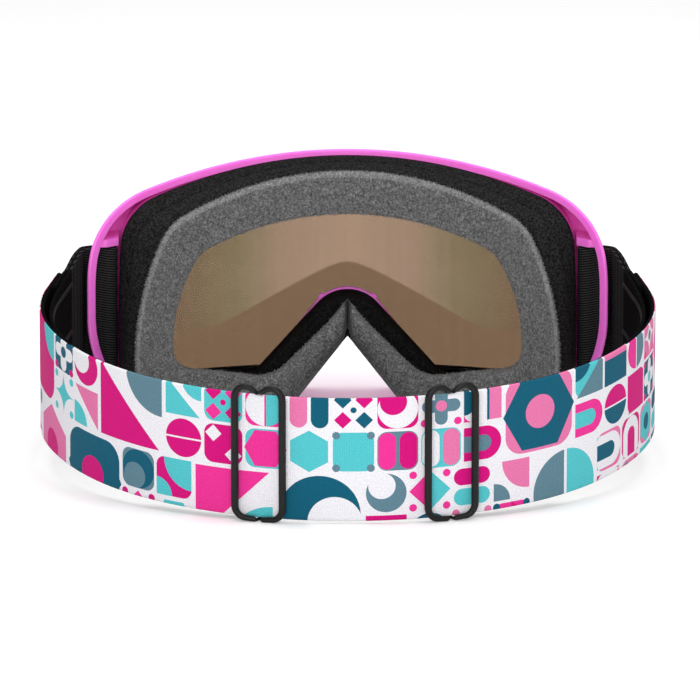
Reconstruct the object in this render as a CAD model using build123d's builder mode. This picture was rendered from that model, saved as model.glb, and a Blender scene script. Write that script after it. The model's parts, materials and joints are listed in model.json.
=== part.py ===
from build123d import *
from math import acos, atan2, cos, hypot, pi, radians, sin, sqrt, tan
import os

os.makedirs("parts", exist_ok=True)

# ------------------------------------------------------------------ driving dimensions, mm
# X runs across the goggles, +Y the way the wearer looks, +Z up.

# Frame, seen from the front
FRAME_SIDE = 83.0  # half of the overall width
FRAME_SIDE_Z = 38.0  # the upper sides lean in from here up
FRAME_SIDE_R = 70.0
FRAME_LOW_Z = 36.0  # and the lower ones from here down
FRAME_LOW_SIDE_R = 45.0
FRAME_TOP = 83.9
FRAME_TOP_R = 160.0
TOP_SLOPE = 12.5  # degrees that the frame's top runs down towards the lens
FRAME_CORNER_R = 30.0
FRAME_LOW_R = 21.0
NOSE_PEAK = 25.4  # where the two slopes of the nose notch would meet
NOSE_FOOT = 23.5  # half width of the notch at the bottom edge
NOSE_R = 7.0
NOSE_FOOT_R = 8.0
PIP_R = 1.2  # two small pips on the flange's edge, over the nose
PIP_X = 8.2
PIP_Z = 35.1

# Frame, seen from above: every face follows a cylinder about one upright axis
FACE_R = 112.0  # rear edge of the frame
FRAME_DEPTH = 26.0
WALL = 2.6
FLANGE = 2.2  # plate that carries the face foam
LIP = 2.4  # front lip over the lens edge
LIP_WIDTH = 4.4  # how far the lip reaches in past the wall
SEAT = 2.0  # ledge behind the lens edge
SEAT_WIDTH = 4.2
EDGE_ROUND = 0.6

# Strap gutter between the outer wall and the foam plate
GUTTER_WIDTH = 7.3
GUTTER_DEPTH = 10.0
GUTTER_WALL = 1.6
GUTTER_START_X = 44.0
BRIDGE = 2.4  # lugs that hold the anchor bar

# Lenses
LENS = 1.5
LENS_PLAY = 0.3
INNER_LENS = 0.9
SPACER = 3.2
SPACER_WIDTH = 4.0

# Face foam: a firm base, a softer middle and the fleece facing, each one a curved plate
FOAM_BASE = 6.0
FOAM_MID = 7.0
FLEECE = 3.0
FOAM_TOP_STEP = 2.1  # foam plate below the frame's top edge
FLEECE_TOP_STEP = 2.6  # fleece below the foam plate's top edge
FLEECE_SIDE_STEP = 3.7
FLEECE_WIDTH = 13.4
NOSE_FLEECE_PEAK = 25.9
NOSE_FLEECE_FOOT = 17.8
CREASE = 0.5  # half width of the fold in the fleece over the nose
FOAM_STEP = 0.8  # foam's opening outside the fleece's
FLANGE_STEP = 4.0  # flange's opening outside the fleece's

# Vents
VENT_LENGTH = 10.0
VENT_WIDTH = 4.4
VENT_PITCH = 6.3  # degrees about the frame's axis
TOP_VENTS = 7
LOW_VENT_LENGTH = 7.5
LOW_VENT_ANGLES = (18.5, 24.0)
VENT_AHEAD = 6.5  # middle of the vents, ahead of the frame's rear edge
TOP_DROP = 9.0  # how far the vents' cut starts under the top
LOW_FOAM_X = 29.5
VENT_FOAM = 2.0

# Strap: seen from above its outer face is a rear arc, a side arc and a straight run to the frame
STRAP_WIDTH = 40.0
STRAP_REACH = 143.0  # anchor axis to the back of the band
STRAP_DROP = 6.2  # degrees that the strap hangs below level, so that it rests on the floor
REAR_R = 103.0
REAR_ARC = 46.0  # degrees each side of the centre
STRAP_HALF = 96.8  # half of the strap's overall width
BAND = 1.5
WEB = 1.2
PLY_GAP = 0.3
TAIL_LAP = 14.0  # webbing tail sewn under the band's end
STRAP_GAP = 0.6  # webbing clear of the frame's side
FOLD_R = 21.0  # the strap bends up and down at this distance from the anchor axis
FOLD_GAP = 0.2
GRIP_LINE = 1.6
GRIP_PROUD = 0.5
GRIP_PITCH = 15.5
GRIP_LINES = 3
GRIP_EDGE = 4.5
GRIP_START = 96.0  # along the band from the centre, past the sliders' reach
BAND_END = -24.0  # ahead of the anchor axis

# Anchor bars
BAR_R = 1.8
BAR_HOLD = 1.2  # how far each end goes into its lug
BAR_PLAY = 0.05
ROLL_PLAY = 0.1
SLOT_PLAY = 0.6

# Sliders
SLIDER_WIDTH = 17.6
SLIDER_BAR = 2.4
SLIDER_END = 1.8
SLIDER_THICK = 2.2
SLIDER_LOOP = 9.4  # width of one of the two loops
SLIDER_CENTRE = 1.8
SLIDER_LUG = 1.1
SLIDER_LIFT = 0.1
SLIDER_EDGE_PLAY = 0.3
LEFT_SLIDER = -27.4  # along the band from the centre
RIGHT_SLIDER = 32.2
SLIDER_FAR = 53.5  # furthest from the centre that a slider travels
HEM_RUN = 42.0
HEM_PLAY = 0.3
HEM_LAP = 12.0

# ------------------------------------------------------------------ places worked out from them
FRONT_R = FACE_R + FRAME_DEPTH
LENS_R = FRONT_R - LIP - LENS_PLAY - LENS
SEAT_R = LENS_R - SEAT
INNER_R = LENS_R - SPACER - INNER_LENS
FOAM_SIDE = FRAME_SIDE - WALL - GUTTER_WIDTH
FOAM_TOP = FRAME_TOP - FOAM_TOP_STEP
FLEECE_SIDE = FOAM_SIDE - FLEECE_SIDE_STEP
FLEECE_TOP = FOAM_TOP - FLEECE_TOP_STEP
MID_R = FACE_R - FOAM_BASE
FLEECE_R = MID_R - FOAM_MID
VENT_R = FACE_R + VENT_AHEAD
SLIDER_HEIGHT = STRAP_WIDTH + 2 * (SLIDER_EDGE_PLAY + SLIDER_END)
BAR_LENGTH = STRAP_WIDTH + 2 * (SLOT_PLAY + BAR_HOLD)

ROLL_R = BAR_R + ROLL_PLAY + WEB  # outside of the webbing round the bar
ROLL_X = FOAM_SIDE + PLY_GAP + ROLL_R
SLOT_HALF = ROLL_R + SLOT_PLAY
POST = 6.4  # rim of the wall behind the strap slot
DROP = radians(STRAP_DROP)
rim_y = sqrt(FACE_R**2 - FRAME_SIDE**2)  # rear edge of the wall ahead of the frame's axis
anchor_ahead = rim_y + POST + SLOT_HALF
turn_at = LEFT_SLIDER / REAR_R  # the slider nearest the centre is the furthest back and the lowest
loop_x = (SLIDER_WIDTH - SLIDER_LOOP) / 2
loop_end = (SLIDER_HEIGHT - SLIDER_LOOP) / 2  # middle of a loop's round end, from the strap's middle
slider_out = SLIDER_LIFT + SLIDER_THICK
slider_back = STRAP_REACH - REAR_R + (REAR_R + slider_out) * cos(turn_at) + loop_x * sin(abs(turn_at))
end_low = SLIDER_LOOP / 2 * hypot(cos(DROP), sin(turn_at) * sin(DROP))
end_back = SLIDER_LOOP / 2 * hypot(sin(DROP), sin(turn_at) * cos(DROP))
ANCHOR_Z = slider_back * sin(DROP) + loop_end * cos(DROP) + end_low  # the slider just touches the floor
back_reach = slider_back * cos(DROP) + loop_end * sin(DROP) + end_back
front_reach = FRONT_R - anchor_ahead
ANCHOR_Y = (back_reach - front_reach) / 2  # centres the whole length on the origin
AXIS_Y = ANCHOR_Y - anchor_ahead

STRAP = Plane(origin=(0, ANCHOR_Y, ANCHOR_Z), x_dir=(1, 0, 0), z_dir=(0, -sin(DROP), cos(DROP)))

rear_y = REAR_R - STRAP_REACH  # centre of the rear arc, in the strap's own plane
side_arc_r = (STRAP_HALF - REAR_R * sin(radians(REAR_ARC))) / (1 - sin(radians(REAR_ARC)))
side_x = (REAR_R - side_arc_r) * sin(radians(REAR_ARC))
side_y = rear_y - (REAR_R - side_arc_r) * cos(radians(REAR_ARC))
RUN_DEPTH = BAND + WEB + PLY_GAP  # outer face of the adjuster web, inside the band's outer face
BAR_DEPTH = BAND + PLY_GAP + WEB + ROLL_PLAY  # outer face of a slider's centre bar
HEM_DEPTH = BAR_DEPTH + SLIDER_CENTRE + ROLL_PLAY
ply_y = BAR_R + ROLL_PLAY + WEB / 2  # each ply's middle, ahead of and behind the bar
gate_x = FRAME_SIDE + STRAP_GAP + RUN_DEPTH + WEB
gate_far = hypot(gate_x - side_x, -ply_y - side_y)
gate_angle = atan2(-ply_y - side_y, gate_x - side_x)
LEAN = gate_angle - acos(side_arc_r / gate_far)  # the straight run leans in by this much


# ------------------------------------------------------------------ helpers
def goggle_bar(shape, inset=0.0):
    """A long bar of goggle section: an arched top, bowed sides, a nose notch and a bottom edge.

    The upper half may run down towards the front, and the bottom edge may rise towards the sides. An
    inset draws every face in by the same distance, so that walls and rims stay parallel.
    """
    side = shape["side"] - inset
    fall = radians(shape["slope"])
    rise = tan(fall) * (AXIS_Y + FACE_R)  # the rear edge's heights, carried back to the plane Y = 0
    top = shape["top"] - inset + rise
    top_r = shape["top_r"] - inset
    tilt = shape["tilt"]
    bottom = shape["bottom"] + inset * hypot(1, tilt)
    steep = (shape["peak"] - shape["bottom"]) / shape["foot"]
    peak = shape["peak"] + inset * hypot(1, steep)
    foot = (peak - bottom) / (steep + tilt)  # half width of the notch where it meets the bottom edge
    below = side / 8
    far = 4 * side
    with BuildSketch(Plane.XZ) as upper:
        with BuildLine():
            add(bowed_sides(side, shape["side_r"] - inset, shape["side_z"] + rise, 1))
        make_face()
        with Locations((0, top - top_r)):
            Circle(top_r, mode=Mode.INTERSECT)
        corners = upper.vertices().sort_by(Axis.Y)[-2:]
        fillet(corners, max(shape["corner_r"] - inset, 1.0))
    with BuildSketch(Plane.XZ) as lower:
        with BuildLine():
            add(bowed_sides(side, shape["low_side_r"] - inset, shape["low_z"], -1))
        make_face()
        with BuildLine():
            Polyline(
                (0, bottom),
                (far, bottom + tilt * far),
                (far, bottom + 2 * far),
                (-far, bottom + 2 * far),
                (-far, bottom + tilt * far),
                close=True,
            )
        make_face(mode=Mode.INTERSECT)
        low = lower.vertices().filter_by(
            lambda v: abs(v.X) > side / 2 and abs(v.Y - bottom - tilt * abs(v.X)) < 0.01
        )
        fillet(low, max(shape["low_r"] - inset, 1.0))
        with BuildLine():
            Polyline(
                (-(peak - bottom + below) / steep, bottom - below),
                (0, peak),
                ((peak - bottom + below) / steep, bottom - below),
                close=True,
            )
        make_face(mode=Mode.SUBTRACT)
        fillet(lower.vertices().filter_by(lambda v: abs(v.X) < 0.01), shape["nose_r"] + inset)
        feet = lower.vertices().filter_by(lambda v: abs(abs(v.X) - foot) < 0.01)
        fillet(feet, max(shape["foot_r"] - inset, 0.6))
    with BuildPart() as bar:
        extrude(upper.sketch, amount=2 * FRONT_R, dir=(0, cos(fall), -sin(fall)))
        extrude(lower.sketch, amount=2 * FRONT_R, dir=(0, 1, 0), mode=Mode.INTERSECT)
    return bar.part


def bowed_sides(side, side_r, turn_z, lean):
    """Upright sides that lean in along an arc: above a height for a lean of 1, below it for -1."""
    turn = acos(max(1 - side / (2 * side_r), 0.0))  # the arc ends at half the width at the latest
    middle = Vector(side - side_r + side_r * cos(turn / 2), turn_z + lean * side_r * sin(turn / 2))
    end = Vector(side - side_r + side_r * cos(turn), turn_z + lean * side_r * sin(turn))
    away = turn_z - lean * 4 * side
    with BuildLine() as line:
        ThreePointArc((side, turn_z), middle, end)
        Line(end, (-end.X, end.Y))
        ThreePointArc((-end.X, end.Y), (-middle.X, middle.Y), (-side, turn_z))
        Polyline((-side, turn_z), (-side, away), (side, away), (side, turn_z))
    return line.line


def curved_plate(body, r_in, r_out, opening=None):
    """A plate of that section between two cylinders about the frame's axis."""
    with BuildPart() as plate:
        with BuildSketch(Plane.XY.offset(-FRAME_TOP)):
            with Locations((0, AXIS_Y)):
                Circle(r_out)
                Circle(r_in, mode=Mode.SUBTRACT)
        extrude(amount=3 * FRAME_TOP)
        add(body, mode=Mode.INTERSECT)
        if opening is not None:
            add(opening, mode=Mode.SUBTRACT)
    return plate.part


def rim_edges(builder, radius):
    """Outer edges of the face that lies on a cylinder about the frame's axis."""
    for face in builder.faces():
        if all(abs(hypot(v.X, v.Y - AXIS_Y) - radius) < 0.01 for v in face.vertices()):
            return face.outer_wire().edges()
    return ShapeList()


def both_sides(shape):
    """The right-hand piece and its mirror image."""
    return [shape, mirror(shape, about=Plane.YZ)]


def rear_point(depth, angle):
    """Point of the rear arc, a depth inside the band's outer face, an angle from the centre."""
    r = REAR_R - depth
    return (r * sin(angle), rear_y - r * cos(angle))


def side_point(depth, angle):
    """Point of the side arc, at an angle from its own sideways direction."""
    r = side_arc_r - depth
    return (side_x + r * cos(angle), side_y + r * sin(angle))


def run_point(depth, ahead):
    """Point of the straight run to the frame, at a distance along Y from the anchor axis."""
    x, y = side_point(depth, LEAN)
    return (x - (ahead - y) * sin(LEAN) / cos(LEAN), ahead)


def strap_line(depth, start, end_y):
    """The strap's line at a depth, from an angle on the rear arc to a place on the straight run."""
    turn = radians(REAR_ARC)
    with BuildLine() as line:
        if start < turn:
            middle = (start + turn) / 2
            ThreePointArc(rear_point(depth, start), rear_point(depth, middle), rear_point(depth, turn))
        low = turn - pi / 2
        ThreePointArc(side_point(depth, low), side_point(depth, (low + LEAN) / 2), side_point(depth, LEAN))
        Line(side_point(depth, LEAN), run_point(depth, end_y))
    return line.line


def layer(path, thickness, width, plane):
    """A strap layer: the path traced to a thickness in its plane, then raised to the strap's width."""
    with BuildPart() as piece:
        with BuildSketch(plane.offset(-width / 2)):
            add(path)
            trace(line_width=thickness)
        extrude(amount=width)
    return piece.part


def fold_cylinder(radius):
    """The round region about the anchors' axis inside which the webbing stays with the frame."""
    with BuildPart() as core:
        with BuildSketch(Plane.YZ.offset(FOAM_SIDE / 2)):
            with Locations((ANCHOR_Y, ANCHOR_Z)):
                Circle(radius)
        extrude(amount=FRAME_SIDE)
    return core.part


# ------------------------------------------------------------------ outlines
EYE_SIDE = FLEECE_SIDE - FLEECE_WIDTH
EYE_TOP = FLEECE_TOP - FLEECE_WIDTH
FRAME_SHAPE = {
    "side": FRAME_SIDE, "side_z": FRAME_SIDE_Z, "side_r": FRAME_SIDE_R,
    "top": FRAME_TOP, "top_r": FRAME_TOP_R, "slope": TOP_SLOPE, "corner_r": FRAME_CORNER_R,
    "low_z": FRAME_LOW_Z, "low_side_r": FRAME_LOW_SIDE_R, "low_r": FRAME_LOW_R,
    "bottom": 0.0, "tilt": 0.0,
    "peak": NOSE_PEAK, "foot": NOSE_FOOT, "nose_r": NOSE_R, "foot_r": NOSE_FOOT_R,
}
FOAM_SHAPE = {
    "side": FOAM_SIDE, "side_z": 30.0, "side_r": 600.0,
    "top": FOAM_TOP, "top_r": 200.0, "slope": 0.0, "corner_r": 16.0,
    "low_z": 30.0, "low_side_r": 600.0, "low_r": 20.0,
    "bottom": FOAM_TOP_STEP, "tilt": 0.0,
    "peak": NOSE_PEAK + 0.8, "foot": NOSE_FOOT, "nose_r": NOSE_R, "foot_r": NOSE_FOOT_R,
}
MID_SHAPE = {
    "side": (FOAM_SIDE + FLEECE_SIDE) / 2, "side_z": 27.0, "side_r": 150.0,
    "top": (FOAM_TOP + FLEECE_TOP) / 2, "top_r": 155.0, "slope": 0.0, "corner_r": 15.0,
    "low_z": 27.0, "low_side_r": 150.0, "low_r": 19.0,
    "bottom": FOAM_TOP_STEP + 0.8, "tilt": 0.0,
    "peak": NOSE_FLEECE_PEAK + 1.1, "foot": (NOSE_FOOT + NOSE_FLEECE_FOOT) / 2, "nose_r": 3.0, "foot_r": 7.0,
}
FLEECE_SHAPE = {
    "side": FLEECE_SIDE, "side_z": 24.0, "side_r": 85.0,
    "top": FLEECE_TOP, "top_r": 125.0, "slope": 0.0, "corner_r": 14.0,
    "low_z": 24.0, "low_side_r": 85.0, "low_r": 18.0,
    "bottom": FOAM_TOP_STEP + 1.5, "tilt": 0.0,
    "peak": NOSE_FLEECE_PEAK, "foot": NOSE_FLEECE_FOOT, "nose_r": 0.8, "foot_r": 7.0,
}
EYE_SHAPE = {
    "side": EYE_SIDE, "side_z": 27.0, "side_r": 50.0,
    "top": EYE_TOP, "top_r": 115.0, "slope": 0.0, "corner_r": 13.0,
    "low_z": 27.0, "low_side_r": 50.0, "low_r": 7.0,
    "bottom": 7.5, "tilt": 0.233,
    "peak": 38.15, "foot": 25.5, "nose_r": 1.0, "foot_r": 20.0,
}
FOAM_EYE_SHAPE = {
    "side": EYE_SIDE + FOAM_STEP, "side_z": 27.0, "side_r": 50.0,
    "top": EYE_TOP + FOAM_STEP, "top_r": 115.0, "slope": 0.0, "corner_r": 13.0,
    "low_z": 27.0, "low_side_r": 50.0, "low_r": 8.0,
    "bottom": 9.4, "tilt": 0.097,
    "peak": 45.6, "foot": 30.7, "nose_r": 14.3, "foot_r": 6.0,
}
FLANGE_EYE_SHAPE = {
    "side": EYE_SIDE + FLANGE_STEP, "side_z": 27.0, "side_r": 54.0,
    "top": EYE_TOP + FLANGE_STEP, "top_r": 115.0, "slope": 0.0, "corner_r": 13.0,
    "low_z": 27.0, "low_side_r": 54.0, "low_r": 11.0,
    "bottom": 6.0, "tilt": 0.097,
    "peak": 46.4, "foot": 32.3, "nose_r": 13.3, "foot_r": 8.0,
}

# ------------------------------------------------------------------ frame shell
frame_bar = goggle_bar(FRAME_SHAPE)
wall_inside = goggle_bar(FRAME_SHAPE, WALL)
wall_middle = goggle_bar(FRAME_SHAPE, WALL / 2)
foam_bar = goggle_bar(FOAM_SHAPE)
gutter_inside = goggle_bar(FOAM_SHAPE, GUTTER_WALL)
lip_inside = goggle_bar(FRAME_SHAPE, WALL + LIP_WIDTH)
seat_inside = goggle_bar(FRAME_SHAPE, WALL + SEAT_WIDTH)
gutter_r = FACE_R + GUTTER_DEPTH
slot_rear = ANCHOR_Y - SLOT_HALF
slot_top = STRAP_WIDTH / 2 + SLOT_PLAY  # from the middle of the slot
lug_reach = AXIS_Y + sqrt((gutter_r + GUTTER_WALL) ** 2 - ROLL_X**2)

with BuildPart() as gutters:
    add(curved_plate(foam_bar, FACE_R, gutter_r + GUTTER_WALL, gutter_inside))
    add(curved_plate(wall_middle, gutter_r, gutter_r + GUTTER_WALL, gutter_inside))
    with Locations((0, AXIS_Y + FRONT_R, FRAME_SIDE_Z)):
        Box(2 * GUTTER_START_X, 2 * FRONT_R, 3 * FRAME_TOP, mode=Mode.SUBTRACT)
    add(curved_plate(wall_middle, FACE_R, gutter_r + GUTTER_WALL), mode=Mode.INTERSECT)

with BuildPart() as lugs:
    for side in (-1, 1):
        for low in (ANCHOR_Z + slot_top, ANCHOR_Z - slot_top - BRIDGE):
            with BuildSketch(Plane.XY.offset(low)):
                with Locations((side * FOAM_SIDE, slot_rear)):
                    Rectangle(GUTTER_WIDTH + WALL, lug_reach - slot_rear,
                              align=(Align.MIN if side > 0 else Align.MAX, Align.MIN))
            extrude(amount=BRIDGE)
    add(curved_plate(wall_middle, FACE_R, gutter_r + GUTTER_WALL), mode=Mode.INTERSECT)

with BuildPart() as pips:
    with BuildSketch(Plane.XZ):
        with Locations((PIP_X, PIP_Z), (-PIP_X, PIP_Z)):
            Circle(PIP_R)
    extrude(amount=FRONT_R, dir=(0, 1, 0))

with BuildPart() as outer_wall:
    add(curved_plate(frame_bar, FACE_R, FRONT_R, wall_inside))
    for radius in (FACE_R, FRONT_R):
        fillet(rim_edges(outer_wall, radius), EDGE_ROUND)

with BuildPart() as frame_shell:
    add(outer_wall.part)
    add(curved_plate(wall_middle, FRONT_R - LIP, FRONT_R, lip_inside))
    add(curved_plate(wall_middle, SEAT_R, LENS_R, seat_inside))
    add(curved_plate(foam_bar, FACE_R, FACE_R + FLANGE, goggle_bar(FLANGE_EYE_SHAPE)))
    add(curved_plate(pips.part, FACE_R, FACE_R + FLANGE))
    add(gutters.part)
    add(lugs.part)
    # strap slots through the wall
    for side in (-1, 1):
        with BuildSketch(Plane.YZ.offset(side * (FOAM_SIDE + PLY_GAP))):
            with Locations((ANCHOR_Y, ANCHOR_Z)):
                Rectangle(2 * SLOT_HALF, 2 * slot_top)
        extrude(amount=GUTTER_WIDTH + WALL, dir=(side, 0, 0), mode=Mode.SUBTRACT)
    # sockets for the anchor bars
    for side in (-1, 1):
        with BuildSketch(Plane.XY.offset(ANCHOR_Z - BAR_LENGTH / 2 - BAR_PLAY)):
            with Locations((side * ROLL_X, ANCHOR_Y)):
                Circle(BAR_R + BAR_PLAY)
        extrude(amount=BAR_LENGTH + 2 * BAR_PLAY, mode=Mode.SUBTRACT)
    # vents through the top wall
    with BuildSketch(Plane.XY.offset(FRAME_TOP - TOP_DROP)):
        with Locations((0, AXIS_Y)):
            with PolarLocations(VENT_R, TOP_VENTS, 90 - VENT_PITCH * (TOP_VENTS - 1) / 2,
                                VENT_PITCH * (TOP_VENTS - 1), endpoint=True):
                SlotOverall(VENT_LENGTH, VENT_WIDTH, rotation=90)
    extrude(amount=2 * TOP_DROP, mode=Mode.SUBTRACT)
    # vents through the bottom wall, under each cheek
    with BuildSketch(Plane.XY.offset(-WALL)):
        with Locations((0, AXIS_Y)):
            for angle in LOW_VENT_ANGLES:
                with PolarLocations(VENT_R, 1, 90 + angle):
                    SlotOverall(LOW_VENT_LENGTH, VENT_WIDTH, rotation=90)
                with PolarLocations(VENT_R, 1, 90 - angle):
                    SlotOverall(LOW_VENT_LENGTH, VENT_WIDTH, rotation=90)
    extrude(amount=3 * WALL, mode=Mode.SUBTRACT)
frame_shell.part.label = "frame_shell"
export_step(frame_shell.part, "parts/frame_shell.step")

# ------------------------------------------------------------------ lenses
lens_bar = goggle_bar(FRAME_SHAPE, WALL + LENS_PLAY)
inner_bar = goggle_bar(FRAME_SHAPE, WALL + SEAT_WIDTH + LENS_PLAY)
spacer_inside = goggle_bar(FRAME_SHAPE, WALL + SEAT_WIDTH + LENS_PLAY + SPACER_WIDTH)

with BuildPart() as outer_lens:
    add(curved_plate(lens_bar, LENS_R, LENS_R + LENS))
outer_lens.part.label = "outer_lens"
export_step(outer_lens.part, "parts/outer_lens.step")

with BuildPart() as lens_spacer:
    add(curved_plate(inner_bar, LENS_R - SPACER, LENS_R, spacer_inside))
lens_spacer.part.label = "lens_spacer"
export_step(lens_spacer.part, "parts/lens_spacer.step")

with BuildPart() as inner_lens:
    add(curved_plate(inner_bar, INNER_R, INNER_R + INNER_LENS))
inner_lens.part.label = "inner_lens"
export_step(inner_lens.part, "parts/inner_lens.step")

# ------------------------------------------------------------------ face foam, three layers
foam_eye = goggle_bar(FOAM_EYE_SHAPE)

with BuildPart() as face_foam_base:
    add(curved_plate(foam_bar, MID_R, FACE_R, foam_eye))
face_foam_base.part.label = "face_foam_base"
export_step(face_foam_base.part, "parts/face_foam_base.step")

with BuildPart() as face_foam_mid:
    add(curved_plate(goggle_bar(MID_SHAPE), FLEECE_R, MID_R, foam_eye))
face_foam_mid.part.label = "face_foam_mid"
export_step(face_foam_mid.part, "parts/face_foam_mid.step")

with BuildPart() as face_fleece:
    add(curved_plate(goggle_bar(FLEECE_SHAPE), FLEECE_R - FLEECE, FLEECE_R, goggle_bar(EYE_SHAPE)))
    # fold over the nose, a shallow groove in the face side
    crease_y = AXIS_Y + FLEECE_R - FLEECE
    with BuildSketch(Plane.XY):
        with Locations((0, crease_y)):
            Rectangle(2 * CREASE, FLEECE)
    extrude(amount=EYE_TOP - FLEECE_WIDTH, mode=Mode.SUBTRACT)
face_fleece.part.label = "face_fleece"
export_step(face_fleece.part, "parts/face_fleece.step")

# ------------------------------------------------------------------ vent foam
foam_room = (FACE_R + FLANGE, SEAT_R)

with BuildPart() as top_vent_foam:
    add(curved_plate(wall_inside, *foam_room, goggle_bar(FRAME_SHAPE, WALL + VENT_FOAM)))
    with Locations((0, AXIS_Y + FACE_R, EYE_TOP)):
        Box(2 * GUTTER_START_X, FACE_R, FRAME_TOP, align=(Align.CENTER, Align.CENTER, Align.MIN),
            mode=Mode.INTERSECT)
top_vent_foam.part.label = "top_vent_foam"
export_step(top_vent_foam.part, "parts/top_vent_foam.step")

with BuildPart() as bottom_vent_foam:
    add(curved_plate(wall_inside, *foam_room, goggle_bar(FRAME_SHAPE, WALL + VENT_FOAM)))
    with Locations((LOW_FOAM_X, AXIS_Y + FACE_R, 0)):
        Box(GUTTER_START_X - LOW_FOAM_X, FACE_R, NOSE_FOOT, mode=Mode.INTERSECT,
            align=(Align.MIN, Align.CENTER, Align.CENTER))
for name, shape in zip(("bottom_vent_foam_right", "bottom_vent_foam_left"), both_sides(bottom_vent_foam.part)):
    shape.label = name
    export_step(shape, f"parts/{name}.step")

# ------------------------------------------------------------------ strap anchors
with BuildPart() as anchor_bar:
    with BuildSketch(Plane.XY.offset(ANCHOR_Z - BAR_LENGTH / 2)):
        with Locations((ROLL_X, ANCHOR_Y)):
            Circle(BAR_R)
    extrude(amount=BAR_LENGTH)
    chamfer(anchor_bar.edges().filter_by(GeomType.CIRCLE), BAR_R / 4)
for name, shape in zip(("anchor_bar_right", "anchor_bar_left"), both_sides(anchor_bar.part)):
    shape.label = name
    export_step(shape, f"parts/{name}.step")

# webbing: in from the head side, round the bar and out again, seen from above
inner_corner = run_point(RUN_DEPTH + WEB / 2, -ply_y)
outer_corner = run_point(BAND + WEB / 2, ply_y)
inner_end = run_point(RUN_DEPTH + WEB / 2, -2 * FOLD_R)
outer_end = run_point(BAND + WEB / 2, -2 * FOLD_R)
turn_inner = WEB / 2 + PLY_GAP
turn_outer = turn_inner + 2 * ply_y - WEB

with BuildLine() as wrap_line:
    FilletPolyline(inner_end, inner_corner, (ROLL_X, -ply_y), radius=turn_inner)
    ThreePointArc((ROLL_X, -ply_y), (ROLL_X - ply_y, 0), (ROLL_X, ply_y))
    FilletPolyline((ROLL_X, ply_y), outer_corner, outer_end, radius=turn_outer)


def wrap(plane):
    """The webbing round the bar, raised square to a plane about the anchor axis."""
    return layer(wrap_line.line, WEB, STRAP_WIDTH, plane)


FOLD_PLANE = Plane(origin=(0, ANCHOR_Y, ANCHOR_Z))

with BuildPart() as anchor_web:
    add(wrap(FOLD_PLANE))
    add(fold_cylinder(FOLD_R), mode=Mode.INTERSECT)
for name, shape in zip(("anchor_web_right", "anchor_web_left"), both_sides(anchor_web.part)):
    shape.label = name
    export_step(shape, f"parts/{name}.step")

# ------------------------------------------------------------------ strap
web_start = (SLIDER_FAR + HEM_LAP + WEB + HEM_PLAY) / REAR_R
fold_clear = fold_cylinder(FOLD_R + FOLD_GAP)

with BuildPart() as band_half:
    add(layer(strap_line(BAND / 2, 0.0, BAND_END), BAND, STRAP_WIDTH, STRAP))

with BuildPart() as printed_band:
    for shape in both_sides(band_half.part):
        add(shape)
printed_band.part.label = "printed_band"
export_step(printed_band.part, "parts/printed_band.step")

with BuildPart() as adjuster_web:
    add(layer(strap_line(RUN_DEPTH + WEB / 2, web_start, -2 * ply_y), WEB, STRAP_WIDTH, STRAP))
    add(fold_clear, mode=Mode.SUBTRACT)
for name, shape in zip(("adjuster_web_right", "adjuster_web_left"), both_sides(adjuster_web.part)):
    shape.label = name
    export_step(shape, f"parts/{name}.step")

with BuildLine() as tail_line:
    Line(run_point(BAND + WEB / 2, BAND_END - TAIL_LAP), run_point(BAND + WEB / 2, -2 * ply_y))
with BuildPart() as web_tail:
    add(layer(tail_line.line, WEB, STRAP_WIDTH, STRAP))
    add(fold_clear, mode=Mode.SUBTRACT)
for name, shape in zip(("web_tail_right", "web_tail_left"), both_sides(web_tail.part)):
    shape.label = name
    export_step(shape, f"parts/{name}.step")

with BuildPart() as grip_lines:
    grip_path = strap_line(RUN_DEPTH + WEB + GRIP_PROUD / 2, GRIP_START / REAR_R, -FOLD_R - GRIP_LINE)
    for row in range(GRIP_LINES):
        rise = STRAP_WIDTH / 2 - GRIP_EDGE - row * GRIP_PITCH
        with BuildSketch(STRAP.offset(rise - GRIP_LINE / 2)):
            add(grip_path)
            trace(line_width=GRIP_PROUD)
        extrude(amount=GRIP_LINE)
for name, shape in zip(("grip_lines_right", "grip_lines_left"), both_sides(grip_lines.part)):
    shape.label = name
    export_step(shape, f"parts/{name}.step")


# ------------------------------------------------------------------ sliders
def slider_plane(along):
    """Plane on the band's outer face at a distance along it, with X along the band and Y up it."""
    angle = along / REAR_R
    x, y = rear_point(0, angle)
    tangent = STRAP.x_dir * cos(angle) + STRAP.y_dir * sin(angle)
    outward = STRAP.x_dir * sin(angle) - STRAP.y_dir * cos(angle)
    return Plane(origin=STRAP.from_local_coords(Vector(x, y, 0)), x_dir=tangent, z_dir=outward)


def make_slider(along):
    """Two rounded loops outside the band, joined at top and bottom to a centre bar inside it."""
    plane = slider_plane(along)
    window = STRAP_WIDTH + 2 * SLIDER_EDGE_PLAY
    with BuildPart() as slider:
        with BuildSketch(plane.offset(SLIDER_LIFT)):
            with Locations((-loop_x, 0), (loop_x, 0)):
                SlotOverall(SLIDER_HEIGHT, SLIDER_LOOP, rotation=90)
            with Locations((-loop_x, 0), (loop_x, 0)):
                SlotOverall(SLIDER_HEIGHT - 2 * SLIDER_END, SLIDER_LOOP - 2 * SLIDER_BAR, rotation=90,
                            mode=Mode.SUBTRACT)
            Rectangle(SLIDER_WIDTH - 2 * SLIDER_BAR, window, mode=Mode.SUBTRACT)
        extrude(amount=SLIDER_THICK)
        with BuildSketch(plane.offset(-BAR_DEPTH - SLIDER_CENTRE)):
            Rectangle(SLIDER_BAR, window + 2 * SLIDER_LUG)
        extrude(amount=SLIDER_CENTRE)
        with BuildSketch(plane.offset(-BAR_DEPTH)):
            Rectangle(SLIDER_BAR, window + 2 * SLIDER_LUG)
            Rectangle(SLIDER_BAR, window, mode=Mode.SUBTRACT)
        extrude(amount=BAR_DEPTH + SLIDER_LIFT + SLIDER_THICK)
    return slider.part


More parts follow.
